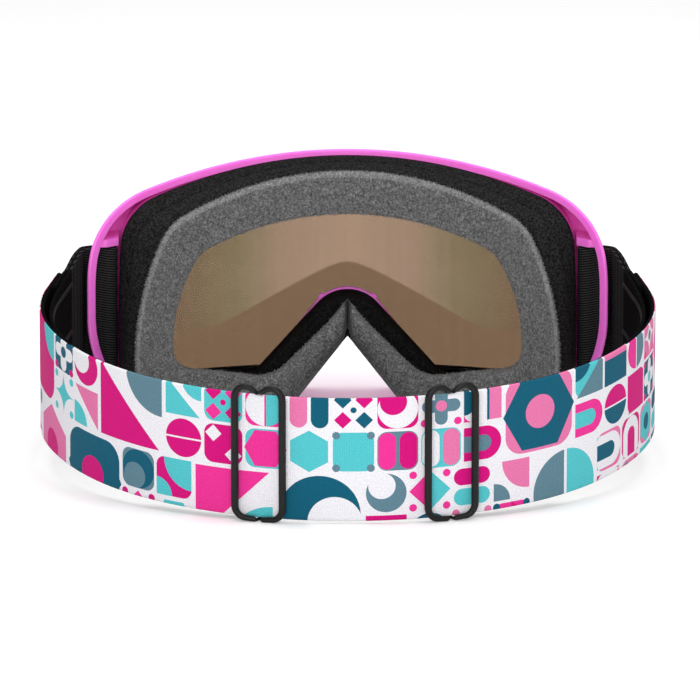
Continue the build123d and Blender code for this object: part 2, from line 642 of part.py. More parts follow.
def make_hem(along):
    """The webbing's end on the right: a sewn loop round the slider's centre bar and a run to the side."""
    height = STRAP_WIDTH - 2 * HEM_PLAY
    outer_ply = BAND + PLY_GAP + WEB / 2
    inner_ply = HEM_DEPTH + WEB / 2
    lapped = inner_ply - WEB - ROLL_PLAY
    half_bar = SLIDER_BAR / 2
    loop_r = (inner_ply - outer_ply) / 2

    def at(depth, ahead):
        return rear_point(depth, (along + ahead) / REAR_R)

    with BuildLine() as line:
        FilletPolyline(
            at(lapped, HEM_LAP),
            at(outer_ply, half_bar),
            at(outer_ply, -half_bar),
            radius=WEB,
        )
        ThreePointArc(
            at(outer_ply, -half_bar),
            at(outer_ply + loop_r, -half_bar - loop_r),
            at(inner_ply, -half_bar),
        )
        ThreePointArc(at(inner_ply, -half_bar), at(inner_ply, HEM_RUN / 2), at(inner_ply, HEM_RUN))
    return layer(line.line, WEB, height, STRAP)


for name, along in (("left", LEFT_SLIDER), ("right", RIGHT_SLIDER)):
    slider = make_slider(along)
    slider.label = f"slider_{name}"
    export_step(slider, f"parts/slider_{name}.step")
    hem = make_hem(abs(along))
    if along < 0:
        hem = mirror(hem, about=Plane.YZ)
    hem.label = f"slider_hem_{name}"
    export_step(hem, f"parts/slider_hem_{name}.step")
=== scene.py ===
# %% [markdown]
# # Snow goggles, seen from behind
#
# A moulded pink frame holds a double bronze lens. Layered black foam and a grey fleece facing meet
# the face, and a printed elastic strap with two sliders goes round the head. The hard pieces come
# from a CAD model at real size; this file gives every surface its finish and remodels what is soft.
# Everything is in metres, in the frame of that model: +X across, +Y the way the wearer looks, +Z up.

# %% The frame of the model
import json
import math
from functools import partialmethod

import bmesh
import bpy
import numpy as np
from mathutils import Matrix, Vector

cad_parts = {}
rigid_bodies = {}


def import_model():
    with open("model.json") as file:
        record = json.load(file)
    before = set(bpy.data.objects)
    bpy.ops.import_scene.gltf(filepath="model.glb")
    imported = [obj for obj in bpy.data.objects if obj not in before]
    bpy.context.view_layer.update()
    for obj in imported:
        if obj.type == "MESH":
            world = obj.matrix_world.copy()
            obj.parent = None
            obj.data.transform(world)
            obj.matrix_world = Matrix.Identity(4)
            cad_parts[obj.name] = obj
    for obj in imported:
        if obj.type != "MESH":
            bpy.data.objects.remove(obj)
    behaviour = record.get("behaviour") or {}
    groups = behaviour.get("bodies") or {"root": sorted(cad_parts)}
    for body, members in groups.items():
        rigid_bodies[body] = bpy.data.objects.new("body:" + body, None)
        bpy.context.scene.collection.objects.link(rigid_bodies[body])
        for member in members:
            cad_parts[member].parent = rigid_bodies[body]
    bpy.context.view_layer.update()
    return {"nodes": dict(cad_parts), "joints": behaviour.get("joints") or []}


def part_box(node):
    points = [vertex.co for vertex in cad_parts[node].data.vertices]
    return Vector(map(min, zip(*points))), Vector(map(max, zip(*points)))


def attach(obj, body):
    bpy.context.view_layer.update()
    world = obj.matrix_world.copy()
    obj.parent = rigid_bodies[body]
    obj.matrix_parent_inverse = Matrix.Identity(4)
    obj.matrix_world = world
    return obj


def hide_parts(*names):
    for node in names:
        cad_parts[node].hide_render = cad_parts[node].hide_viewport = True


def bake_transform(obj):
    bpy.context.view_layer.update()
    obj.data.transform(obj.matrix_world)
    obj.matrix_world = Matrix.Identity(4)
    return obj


for leftover in list(bpy.data.objects):
    bpy.data.objects.remove(leftover)

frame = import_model()

# %% [markdown]
# The joints say where the strap is hung and how it lies: it turns about the line through its two
# anchor bars, and the sliders travel round the centre of its rear arc, in its own tilted plane.

# %% Places that the joints give
joints = {joint["name"]: joint for joint in frame["joints"]}
anchor = Vector(joints["strap_tilt"]["pos_m"])
strap_up = Vector(joints["left_slider_travel"]["axis"]).normalized()
strap_across = Vector((1, 0, 0))
strap_ahead = strap_up.cross(strap_across)
strap_drop = math.asin(-strap_up.y)
print("strap hangs", round(math.degrees(strap_drop), 2), "degrees below level")

# %% [markdown]
# The sizes that the looks share with the CAD model are written out once. Every face of the goggles
# follows a cylinder about one upright axis, so a radius about that axis says how far forward a layer
# lies. One size differs: the ring between the lenses is squeezed there, so it is drawn narrower.

# %% Sizes of the real pieces, in metres
MM = 0.001
FACE_R = 112 * MM  # rear edge of the frame, about its upright axis
FRONT_R = 138 * MM
FOAM_MIDDLE_R = 106 * MM  # where the firm foam ends and the soft foam starts
FLEECE_BACK_R = 99 * MM
FLEECE_FACE_R = 96 * MM
LENS_R = 133.8 * MM
LENS = 1.5 * MM
SPACER = 3.2 * MM
INNER_LENS = 0.9 * MM
FLANGE = 2.2 * MM
SEAT_R = 131.8 * MM
WALL = 2.6 * MM
LENS_PLAY = 0.3 * MM
SEAT_WIDTH = 4.2 * MM
SPACER_WIDTH = 1.6 * MM  # narrower than the CAD ring
VENT_FOAM = 2 * MM
TOP_SLOPE = math.tan(math.radians(12.5))  # the frame's top runs down towards the lens

STRAP_WIDTH = 40 * MM
BAND = 1.5 * MM
WEB = 1.2 * MM
PLY_GAP = 0.3 * MM
REAR_R = 103 * MM
REAR_TURN = math.radians(46)
STRAP_HALF = 96.8 * MM
STRAP_REACH = 143 * MM
BAND_END = -24 * MM
TAIL_LAP = 14 * MM
RUN_DEPTH = BAND + WEB + PLY_GAP
BAR_R = 1.8 * MM
ROLL_PLAY = 0.1 * MM
PLY_Y = BAR_R + ROLL_PLAY + WEB / 2
BAR_X = 76.5 * MM
FRAME_SIDE = 83 * MM
STRAP_GAP = 0.6 * MM
EASE = 0.05 * MM  # a hair's breadth between a face, a rod or a thread and the face next to it

axis_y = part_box("frame_shell")[1].y - FRONT_R  # the upright axis that the frame's faces go round
print("the faces go round an axis at y", round(axis_y / MM, 1), "mm")


# %% [markdown]
# ## Helpers
#
# Most pieces are lofts: closed loops of points, one after another, joined by quads. The helper
# takes the loops as a grid and can close it either way. Every mesh is built where it belongs, so
# its object stays at the origin. Where a modifier or a curve makes the shape, its result is kept
# as a plain mesh and the rest goes away.

# %% Mesh helpers
def add_object(name, data):
    """Puts a mesh, a curve, a lamp or a camera into the scene as an object."""
    piece = bpy.data.objects.new(name, data)
    bpy.context.scene.collection.objects.link(piece)
    return piece


def make_object(name, points, faces, material, smooth=True):
    """A mesh object from points and faces."""
    mesh = bpy.data.meshes.new(name)
    mesh.from_pydata([tuple(p) for p in points], [], faces)
    mesh.validate()
    mesh.polygons.foreach_set("use_smooth", [smooth] * len(mesh.polygons))
    mesh.materials.append(material)
    return add_object(name, mesh)


def baked(name, source):
    """What an object's curve or modifiers make, as a plain mesh in an object of its own."""
    mesh = bpy.data.meshes.new_from_object(source.evaluated_get(bpy.context.evaluated_depsgraph_get()))
    bpy.data.objects.remove(source)
    return add_object(name, mesh)


def repaint(piece, material):
    """Gives a piece one finish all over."""
    piece.data.materials.clear()
    piece.data.materials.append(material)
    print(piece.name, "is finished in", material.name)


# %% Grids, rings and their faces
def grid_faces(rows, columns, close_rows=False, close_columns=True):
    """Quads over a grid of points, row by row, optionally closed round either way."""
    faces = []
    for r in range(rows if close_rows else rows - 1):
        for c in range(columns if close_columns else columns - 1):
            right = (c + 1) % columns
            here, below = r * columns, (r + 1) % rows * columns
            faces.append((here + c, here + right, below + right, below + c))
    return faces


def face_outwards(piece):
    """Turns every face of a closed mesh outwards."""
    mesh = bmesh.new()
    mesh.from_mesh(piece.data)
    bmesh.ops.recalc_face_normals(mesh, faces=mesh.faces)
    mesh.to_mesh(piece.data)
    mesh.free()


def ring_loft(name, loops, material):
    """A closed ring from loops of equal length that go once round its section."""
    points = np.concatenate(loops)
    piece = make_object(name, points, grid_faces(len(loops), len(loops[0]), close_rows=True), material)
    face_outwards(piece)
    return piece


# %% Handing a piece over
def place(piece, body, slot, *nodes):
    """The piece moves with a body and stands for CAD nodes, which it hides. Its slot is not used."""
    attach(piece, body)
    if nodes:
        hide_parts(*nodes)
    print(piece.name, "rides on", body, "and has", len(piece.data.polygons), "faces")


# %% [markdown]
# ## The goggle outline
#
# Seen from the front, every layer of the goggles has the same kind of outline: a flat arc on top,
# rounded corners, sides that bow in above and below, a nearly straight bottom and the notch for the
# nose. It is worked out from circles and their tangent points. Each stretch always gets the same
# number of points, so two outlines can be joined or mixed point by point.

# %% Circles and lines
STRETCHES = {
    "top": 34, "corner": 22, "side": 18, "flat": 3, "low_side": 14, "low": 18,
    "bottom": 14, "foot": 12, "slope": 30, "nose": 8,
}


def arc_points(centre, radius, start, end, count):
    """Points of an arc from one angle to another, without the last one."""
    angles = start + (end - start) * np.arange(count) / count
    return np.stack([centre[0] + radius * np.cos(angles), centre[1] + radius * np.sin(angles)], axis=1)


def line_points(start, end, count, gather=1.0):
    """Points of a line, without the last one. A gather over 1 crowds them towards the end."""
    steps = (1 - (1 - np.arange(count) / count) ** gather)[:, None]
    return np.array(start) + (np.array(end) - np.array(start)) * steps


def right_crossing(c1, r1, c2, r2):
    """The right-hand one of the two points where two circles cross."""
    c1, c2 = np.array(c1, float), np.array(c2, float)
    apart = np.linalg.norm(c2 - c1)
    along = (r1**2 - r2**2 + apart**2) / (2 * apart)
    off = math.sqrt(max(r1**2 - along**2, 0))
    direction = (c2 - c1) / apart
    normal = np.array([-direction[1], direction[0]])
    middle = c1 + direction * along
    return max((middle + normal * off, middle - normal * off), key=lambda point: point[0])


def angle_of(centre, point):
    return math.atan2(point[1] - centre[1], point[0] - centre[0])


# %% Outline of one layer
def outline(shape, inset=0.0):
    """The closed outline of a layer, in X and Z, from sizes in millimetres."""
    tilt = shape["tilt"]
    s = {key: value * MM for key, value in shape.items()}
    side, side_r, low_side_r = s["side"] - inset, s["side_r"] - inset, s["low_side_r"] - inset
    top, top_r = s["top"] - inset, s["top_r"] - inset
    corner_r, low_r = max(s["corner_r"] - inset, MM), max(s["low_r"] - inset, MM)
    foot_r, nose_r = max(s["foot_r"] - inset, 0.6 * MM), s["nose_r"] + inset
    steep = (s["peak"] - s["bottom"]) / s["foot"]
    bottom = s["bottom"] + inset * math.hypot(1, tilt)
    peak = s["peak"] + inset * math.hypot(1, steep)
    foot = (peak - bottom) / (steep + tilt)
    rise, notch = math.atan(tilt), math.atan2(1.0, steep)

    top_c, side_c = (0.0, top - top_r), (side - side_r, s["side_z"])
    corner = right_crossing(top_c, top_r - corner_r, side_c, side_r - corner_r)
    corner_start, corner_end = angle_of(top_c, corner), angle_of(side_c, corner)

    low_side_c = (side - low_side_r, s["low_z"])
    reach = low_side_r - low_r
    fall = bottom + low_r * math.hypot(1, tilt) + tilt * low_side_c[0] - low_side_c[1]
    low_turn = rise + math.asin(fall / (reach * math.hypot(1, tilt)))
    low = (low_side_c[0] + reach * math.cos(low_turn), low_side_c[1] + reach * math.sin(low_turn))
    low_touch = (low[0] + low_r * math.sin(rise), low[1] - low_r * math.cos(rise))

    back = foot_r * math.tan((math.pi / 2 + rise - notch) / 2)
    foot_touch = (foot + back * math.cos(rise), bottom + tilt * foot + back * math.sin(rise))
    foot_c = (foot_touch[0] - foot_r * math.sin(rise), foot_touch[1] + foot_r * math.cos(rise))
    slope_start = (foot_c[0] - foot_r * math.cos(notch), foot_c[1] - foot_r * math.sin(notch))
    nose_c = (0.0, peak - nose_r / math.sin(notch))
    slope_end = (nose_r * math.cos(notch), nose_c[1] + nose_r * math.sin(notch))
    half = [
        arc_points(top_c, top_r, math.pi / 2, corner_start, STRETCHES["top"]),
        arc_points(corner, corner_r, corner_start, corner_end, STRETCHES["corner"]),
        arc_points(side_c, side_r, corner_end, 0.0, STRETCHES["side"]),
        line_points((side, s["side_z"]), (side, s["low_z"]), STRETCHES["flat"]),
        arc_points(low_side_c, low_side_r, 0.0, low_turn, STRETCHES["low_side"]),
        arc_points(low, low_r, low_turn, rise - math.pi / 2, STRETCHES["low"]),
        line_points(low_touch, foot_touch, STRETCHES["bottom"]),
        arc_points(foot_c, foot_r, rise - math.pi / 2, notch - math.pi, STRETCHES["foot"]),
        line_points(slope_start, slope_end, STRETCHES["slope"], gather=1.7),
        arc_points(nose_c, nose_r, notch, math.pi / 2, STRETCHES["nose"]),
    ]
    right = np.concatenate(half + [np.array([[0.0, nose_c[1] + nose_r]])])
    left = right[-2:0:-1] * np.array([-1, 1])
    return np.concatenate([right, left])


# %% [markdown]
# The upper half of the hard pieces runs down towards the lens, so their outline is sheared there.
# A share for every point says how much of that slope it takes: all of it above the straight bit of
# the side, none below.

# %% From an outline to a place in the goggles
def slope_share():
    """One number for each point of an outline: 1 on its upper half and 0 on its lower half."""
    above = STRETCHES["top"] + STRETCHES["corner"] + STRETCHES["side"]
    below = sum(STRETCHES.values()) + 1 - above - STRETCHES["flat"]
    fading = 1 - np.arange(STRETCHES["flat"]) / STRETCHES["flat"]
    right = np.concatenate([np.ones(above), fading, np.zeros(below)])
    return np.concatenate([right, right[-2:0:-1]])


SLOPE_SHARE = slope_share()


def ahead_of(x, radius):
    return axis_y + np.sqrt(np.maximum(radius**2 - x**2, 0))


def top_drop(y):
    """How far the frame's sloping top has come down at a place ahead of its rear edge."""
    return TOP_SLOPE * (y - axis_y - FACE_R)


def on_cylinder(flat, radius, sloped=False):
    """Puts an outline on the face of that radius about the frame's upright axis."""
    y = ahead_of(flat[:, 0], radius)
    drop = top_drop(y) * SLOPE_SHARE if sloped else 0.0
    return np.stack([flat[:, 0], y, flat[:, 1] - drop], axis=1)


# %% Outlines of the frame, the foam layers and the fleece, in millimetres
FRAME_SHAPE = {
    "side": 83.0, "side_z": 38.0, "side_r": 70.0, "top": 83.9, "top_r": 160.0, "corner_r": 30.0,
    "low_z": 36.0, "low_side_r": 45.0, "low_r": 21.0, "bottom": 0.0, "tilt": 0.0,
    "peak": 25.4, "foot": 23.5, "nose_r": 7.0, "foot_r": 8.0,
}
FOAM_SHAPE = {
    "side": 73.1, "side_z": 30.0, "side_r": 600.0, "top": 81.8, "top_r": 200.0, "corner_r": 16.0,
    "low_z": 30.0, "low_side_r": 600.0, "low_r": 20.0, "bottom": 2.1, "tilt": 0.0,
    "peak": 26.2, "foot": 23.5, "nose_r": 4.0, "foot_r": 8.0,
}
MID_SHAPE = {
    "side": 71.25, "side_z": 27.0, "side_r": 150.0, "top": 80.5, "top_r": 155.0, "corner_r": 15.0,
    "low_z": 27.0, "low_side_r": 150.0, "low_r": 19.0, "bottom": 2.9, "tilt": 0.0,
    "peak": 27.0, "foot": 20.65, "nose_r": 1.2, "foot_r": 7.0,
}
FLEECE_SHAPE = {
    "side": 67.3, "side_z": 24.0, "side_r": 85.0, "top": 79.2, "top_r": 123.0, "corner_r": 15.0,
    "low_z": 24.0, "low_side_r": 85.0, "low_r": 18.0, "bottom": 3.6, "tilt": 0.0,
    "peak": 25.9, "foot": 17.8, "nose_r": 0.8, "foot_r": 7.0,
}
EYE_SHAPE = {
    "side": 56.0, "side_z": 27.0, "side_r": 50.0, "top": 65.8, "top_r": 115.0, "corner_r": 11.5,
    "low_z": 27.0, "low_side_r": 50.0, "low_r": 7.0, "bottom": 7.3, "tilt": 0.203,
    "peak": 35.4, "foot": 29.3, "nose_r": 1.0, "foot_r": 12.0,
}
FOAM_EYE_SHAPE = {
    "side": 56.8, "side_z": 27.0, "side_r": 50.0, "top": 66.6, "top_r": 115.0, "corner_r": 13.0,
    "low_z": 27.0, "low_side_r": 50.0, "low_r": 8.0, "bottom": 6.1, "tilt": 0.165,
    "peak": 43.9, "foot": 35.3, "nose_r": 13.0, "foot_r": 5.0,
}
foam_rim = outline(FOAM_SHAPE)
mid_rim = outline(MID_SHAPE)
fleece_rim = outline(FLEECE_SHAPE)
fleece_eye = outline(EYE_SHAPE)
foam_eye = outline(FOAM_EYE_SHAPE)
print("points in an outline", len(foam_rim))


# %% [markdown]
# ## Node helpers
#
# Patterns are sums in a shader. Python operators on this small class add Math nodes, so a motif
# reads like the formula that it is. Nodes are made with their inputs in one go, each a value or a
# socket to link.

# %% Arithmetic on sockets
def wire(tree, socket, value):
    """Links a socket to another one, or sets it to a plain value."""
    value = value.source if isinstance(value, Value) else value
    if isinstance(value, bpy.types.NodeSocket):
        tree.links.new(value, socket)
    else:
        socket.default_value = (*value, 1) if socket.type == "RGBA" else value


def add_node(tree, kind, inputs, **settings):
    """A node with its settings and its inputs, which go by name or by number."""
    node = tree.nodes.new(kind)
    for key, value in settings.items():
        setattr(node, key, value)
    for key, value in inputs.items():
        wire(tree, node.inputs[key], value)
    return node


class Value:
    """A number in a node tree: arithmetic on it adds Math nodes."""

    def __init__(self, tree, source):
        self.tree, self.source = tree, source

    def join(self, operation, *others):
        inputs = dict(enumerate((self, *others)))
        node = add_node(self.tree, "ShaderNodeMath", inputs, operation=operation)
        return Value(self.tree, node.outputs[0])

    __add__ = partialmethod(join, "ADD")
    __sub__ = partialmethod(join, "SUBTRACT")
    __mul__ = partialmethod(join, "MULTIPLY")
    __truediv__ = partialmethod(join, "DIVIDE")
    __lt__ = partialmethod(join, "LESS_THAN")
    __gt__ = partialmethod(join, "GREATER_THAN")
    size = partialmethod(join, "ABSOLUTE")
    least = partialmethod(join, "MINIMUM")
    most = partialmethod(join, "MAXIMUM")


def distance(x, y):
    return (x * x + y * y).join("SQRT")


def grey(level):
    return (level, level, level)


# %% A material and short ways to add to it
class Surface:
    """A new material with its Principled shader and short ways to add nodes."""

    def __init__(self, name, colour, roughness, **sockets):
        self.material = bpy.data.materials.new(name)
        self.material.use_nodes = True
        print("new finish", name)
        self.tree = self.material.node_tree
        self.shader = self.tree.nodes["Principled BSDF"]
        for socket, value in {"Base_Color": colour, "Roughness": roughness, **sockets}.items():
            wire(self.tree, self.shader.inputs[socket.replace("_", " ")], value)
        self.bump_input = self.shader.inputs["Normal"]

    def node(self, kind, inputs, **settings):
        return add_node(self.tree, "ShaderNode" + kind, inputs, **settings)

    def place(self, uv=None):
        """Object coordinates, or the piece's own UV map."""
        if uv is None:
            return self.node("TexCoord", {}).outputs["Object"]
        return self.node("UVMap", {}, uv_map=uv).outputs["UV"]

    def parts(self, place):
        """The X, Y and Z of a place, as values."""
        return [Value(self.tree, output) for output in self.node("SeparateXYZ", {0: place}).outputs]

    def noise(self, place, scale, detail=2.0, roughness=0.5):
        inputs = {"Vector": place, "Scale": scale, "Detail": detail, "Roughness": roughness}
        return Value(self.tree, self.node("TexNoise", inputs).outputs["Fac"])

    def ramp(self, source, stops, constant=False):
        node = self.node("ValToRGB", {"Fac": source})
        node.color_ramp.interpolation = "CONSTANT" if constant else "LINEAR"
        elements = node.color_ramp.elements
        while len(elements) < len(stops):
            elements.new(0.5)
        for element, (position, colour) in zip(elements, stops):
            element.position = position
            element.color = (*colour, 1)
        return node.outputs["Color"]

    def between(self, source, low, high, start=0.3, end=0.7):
        """Goes from one level or colour to another as the source rises from start to end."""
        if isinstance(low, float):
            low, high = grey(low), grey(high)
        return self.ramp(source, [(start, low), (end, high)])

    def mix(self, share, first, second, blend="MIX"):
        """The first colour where the share is 0 and the second where it is 1."""
        inputs = {0: share, 6: first, 7: second}
        return self.node("Mix", inputs, data_type="RGBA", blend_type=blend).outputs[2]

    def shade(self, colour, source, *levels):
        """Darkens and lightens a colour a little where the source is low and high."""
        return self.mix(1.0, colour, self.between(source, *levels), blend="MULTIPLY")

    def bump(self, height, distance, strength=1.0):
        """Adds a bump of that depth in metres on top of those that are there."""
        node = self.node("Bump", {"Height": height, "Distance": distance, "Strength": strength})
        wire(self.tree, self.bump_input, node.outputs["Normal"])
        self.bump_input = node.inputs["Normal"]

    def colour(self, source):
        wire(self.tree, self.shader.inputs["Base Color"], source)

    def rough(self, source):
        wire(self.tree, self.shader.inputs["Roughness"], source)


# %% A finish that wanders a little
def uneven(name, base, roughness, colour=None, gloss=None, grain=None, uv=None, **sockets):
    """A surface whose colour and gloss wander a little and whose grain is raised.

    Each is a noise scale and its detail, then the levels, or the grain's depth and strength.
    """
    skin = Surface(name, base, roughness, **sockets)
    place = skin.place(uv)
    for given, use in ((colour, skin.colour), (gloss, skin.rough)):
        if given:
            use(skin.between(skin.noise(place, *given[:2]), *given[2:]))
    if grain:
        skin.bump(skin.noise(place, *grain[:2]), *grain[2:])
    return skin


# %% [markdown]
# ## Frame plastic
#
# The frame is a soft, slightly glossy moulding in bright pink. A moulded skin is never quite even:
# its gloss wanders a little and a very fine grain breaks up the highlights. An image would need a
# UV map, which a CAD mesh doesn't have, so noises on object coordinates do it. Light also goes a
# little way into soft plastic, and subsurface scattering keeps the shadows on it pink.

# %% Frame plastic
pink_plastic = uneven(
    "pink_frame_plastic", (1.0, 0.175, 0.715), 0.38,
    colour=(60, 3, (1.0, 0.160, 0.69), (1.0, 0.190, 0.74)),
    gloss=(220, 4, 0.32, 0.46, 0.3, 0.75),
    grain=(1500, 3, 0.03 * MM, 0.35),
    Specular_IOR_Level=0.4, Coat_Weight=0.15, Coat_Roughness=0.18,
    Subsurface_Weight=0.4, Subsurface_Scale=4 * MM, Subsurface_Radius=(1.0, 0.35, 0.8),
)
repaint(frame["nodes"]["frame_shell"], pink_plastic.material)

# %% [markdown]
# ## Black foam
#
# Open-cell foam is a sponge: matt, almost black, with pores well under a millimetre wide. As
# geometry they would take millions of faces, so they are bump: Voronoi cells give the pores, and
# noise makes them uneven and breaks the colour into specks.

# %% Foam finish
PORES = 1400  # in a metre
SPECKS = 1500
NOSE_SHADE_REACH = 55 * MM  # painted shade: the foam darkens towards the nose, out to this far from it
NOSE_SHADE_MIDDLE = 5 * MM


def make_foam(name, low, high):
    foam = Surface(name, grey(low), 1.0, Specular_IOR_Level=0.06)
    place = foam.place()
    pores = foam.node("TexVoronoi", {"Vector": place, "Scale": PORES})
    grain = foam.noise(place, SPECKS, 4, 0.75)
    x, _, z = foam.parts(place)
    from_nose = distance(x / NOSE_SHADE_REACH, (z - NOSE_SHADE_MIDDLE) / NOSE_SHADE_REACH)
    # Painted shade: the colour darkens towards the nose, where the foam lies in shadow.
    foam.colour(foam.shade(foam.between(grain, low, high, 0.43, 0.60), from_nose, 0.38, 1.0, 0.8, 1.0))
    foam.bump(pores.outputs["Distance"], 0.30 * MM, 0.5)
    foam.bump(grain, 0.35 * MM, 0.5)
    return foam.material


firm_foam_finish = make_foam("firm_black_foam", 0.004, 0.026)
soft_foam_finish = make_foam("soft_black_foam", 0.005, 0.029)


# %% [markdown]
# The face foam comes in two layers. The firm one is glued to the frame, the soft one steps in from
# it, and a fine groove parts them. Both could be cut from a bent sheet, but a loft between two
# outlines on two cylinders has the same points in every loop, so its cut side can slope and swell.

# %% Foam layers
GROOVE_AHEAD = 0.2 * MM
GROOVE_BEHIND = 0.1 * MM


def mixed(first, second, share):
    return first * (1 - share) + second * share


def grown(flat, other, amount):
    """An outline moved away from another one by an amount, point by point."""
    away = flat - other
    return flat + away / np.maximum(np.linalg.norm(away, axis=1), 1e-6)[:, None] * amount


def foam_ring(name, outer_back, outer_face, back_r, face_r, crown, material):
    """A foam layer: its outer side swells by the crown, most in the middle."""
    loops = []
    for share in np.linspace(0, 1, 13):
        swell = crown * math.sin(math.pi * share) ** 0.6 if 0 < share < 1 else 0.0
        flat = grown(mixed(outer_back, outer_face, share), foam_eye, swell)
        loops.append(on_cylinder(flat, back_r + (face_r - back_r) * share))
    for share in (0.05, 0.5, 0.95):
        loops.append(on_cylinder(mixed(outer_face, foam_eye, share), face_r))
    for share in np.linspace(0, 1, 7):
        loops.append(on_cylinder(foam_eye, face_r + (back_r - face_r) * share))
    for share in (0.95, 0.5, 0.05):
        loops.append(on_cylinder(mixed(outer_back, foam_eye, share), back_r))
    return ring_loft(name, loops, material)


# %% Firm foam and soft foam
firm_foam = foam_ring("firm_foam", foam_rim, mid_rim, FACE_R, FOAM_MIDDLE_R + GROOVE_AHEAD, 0.5 * MM,
                      firm_foam_finish)
place(firm_foam, "goggles", "black_foam", "face_foam_base")

soft_foam = foam_ring("soft_foam", mid_rim, fleece_rim, FOAM_MIDDLE_R - GROOVE_BEHIND, FLEECE_BACK_R,
                      1.0 * MM, soft_foam_finish)
place(soft_foam, "goggles", "black_foam", "face_foam_mid")


# %% [markdown]
# ## Fleece facing
#
# The face side is a brushed fleece, about three millimetres thick. Its edges roll over, it is
# folded hard over the nose, and its pile is a mix of light and dark fibres, with a painted highlight
# where the cut edge catches the light. The body of it is a loft with soft edges. One number on each
# point says how near the cut edge it is, which the shader reads to paint that highlight, and another
# how deep it lies in the fold over the nose, which the shader reads to paint shade there. A third
# says how much pile grows on it: none on the back, and less and less into the fold.

# %% Fleece finish
FIBRES = 1500  # in a metre
CLUMPS = 500
FIBRE_SHARE = 0.86
SPECK_STOPS = (0.36, 0.5, 0.64)
RIM_HIGHLIGHT_FROM = 1.25  # the cut edge's number and the fibres' height together
RIM_HIGHLIGHT_GREY = 0.36
FOLD_SHADE_GREY = 0.004


def make_fleece(name, levels):
    fleece = Surface(name, grey(0.13), 1.0, Specular_IOR_Level=0.05, Sheen_Weight=0.15,
                     Sheen_Roughness=0.6)
    place = fleece.place()
    fibres = fleece.noise(place, FIBRES, 4, 0.8)
    specks = fibres * FIBRE_SHARE + fleece.noise(place, CLUMPS, 2, 0.5) * (1 - FIBRE_SHARE)
    edge, fold = (Value(fleece.tree, fleece.node("Attribute", {}, attribute_name=number).outputs["Fac"])
                  for number in ("cut_edge", "fold"))
    colour = fleece.ramp(specks, [(stop, grey(level)) for stop, level in zip(SPECK_STOPS, levels)])
    # Painted highlight: the fibres near the cut edge are lightened, where the edge catches the light.
    rim_highlight = (edge + fibres * 2.0 - RIM_HIGHLIGHT_FROM).least(1.0).most(0.0)
    colour = fleece.mix(rim_highlight * 0.5, colour, grey(RIM_HIGHLIGHT_GREY))
    # Painted shade: the colour goes nearly black deep in the fold over the nose.
    fleece.colour(fleece.mix(fold, colour, grey(FOLD_SHADE_GREY)))
    fleece.bump(specks, 0.45 * MM, 0.7)
    return fleece.material


fleece_finish = make_fleece("grey_fleece", (0.034, 0.122, 0.290))
pile_finish = make_fleece("grey_fleece_pile", (0.055, 0.175, 0.370))


# %% Sizes of the fleece's edges and folds
CREASE = 0.95 * MM
CREASE_DEPTH = 1.7 * MM
NOSE_TOP = 50 * MM  # nothing above this is folded
NOSE_HALF = 26 * MM
NOTCH = 2.3 * MM
SEAM_PULL = 2.4 * MM  # the nose seam draws the inner edge up into a point
SEAM_REACH = 3 * MM
FLEECE_ROLL = 1.3 * MM  # how far the cut edges roll over
OUTER_BULGE = 0.5 * MM
INNER_BULGE = 0.2 * MM
FACE_SWELL = 0.35 * MM
FACE_DEPTH = 0.4 * MM  # what lies further back than this is the face, which is creased
CREASE_FOLD = 1.3
DEEPEST = 0.97
ROLL_STEPS = 8


# %% Loops and folds of the fleece
def from_rim(points):
    """For every point of the loft: 1 at the outer rim and 0 at the eye opening."""
    flat = points[..., [0, 2]]
    out, eye = np.linalg.norm(flat - fleece_eye, axis=2), np.linalg.norm(flat - fleece_rim, axis=2)
    return np.clip(out / (out + eye), 0, 1)


def fleece_loops():
    """Loops once round the fleece's section, how near the cut edge each lies and whether pile grows."""
    thickness = FLEECE_FACE_R - FLEECE_BACK_R
    rows = []

    def add_loop(flat, radius, near_edge, hairy=1.0):
        rows.append((on_cylinder(flat, radius), near_edge, hairy))

    for turn in np.linspace(0, math.pi / 2, ROLL_STEPS):  # outer edge, from the foam to the face
        growth = OUTER_BULGE * math.sin(2 * turn) - FLEECE_ROLL * (1 - math.cos(turn)) * 0.8
        flat = grown(fleece_rim, fleece_eye, growth)
        add_loop(flat, FLEECE_BACK_R + thickness * math.sin(turn), math.sin(turn) ** 2)
    for share in np.linspace(0.12, 0.88, 13):
        radius = FLEECE_FACE_R - FACE_SWELL * math.sin(math.pi * share)
        add_loop(mixed(fleece_rim, fleece_eye, share), radius, max(0.35 - 2.4 * share, 0))
    for turn in np.linspace(math.pi / 2, 0, ROLL_STEPS):  # inner edge
        flat = grown(fleece_eye, fleece_rim, INNER_BULGE - FLEECE_ROLL * (1 - math.cos(turn)) * 0.6)
        add_loop(flat, FLEECE_BACK_R + thickness * math.sin(turn), 0.12 * math.sin(turn))
    for share in (0.8, 0.5, 0.2):
        add_loop(mixed(fleece_rim, fleece_eye, share), FLEECE_BACK_R, 0.0, hairy=0.0)
    return [np.array(column) for column in zip(*rows)]


def fold_over_nose(points):
    """Presses the crease, the notch and the seam into the loops. Returns how deep each point lies."""
    across, low = np.abs(points[..., 0]), points[..., 2] < NOSE_TOP
    creased = np.exp(-((across / CREASE) ** 2)) * low
    face = points[..., 1] < axis_y + FLEECE_BACK_R - FACE_DEPTH
    points[..., 1] += creased * CREASE_DEPTH * face
    points[..., 2] += creased * NOTCH * from_rim(points)
    points[..., 2] += np.exp(-across / SEAM_REACH) * low * (1 - from_rim(points)) * SEAM_PULL
    nose = np.clip(1 - across / NOSE_HALF, 0, 1) ** 0.5 * low * from_rim(points) ** 1.5
    return np.clip(nose + CREASE_FOLD * creased, 0, DEEPEST)


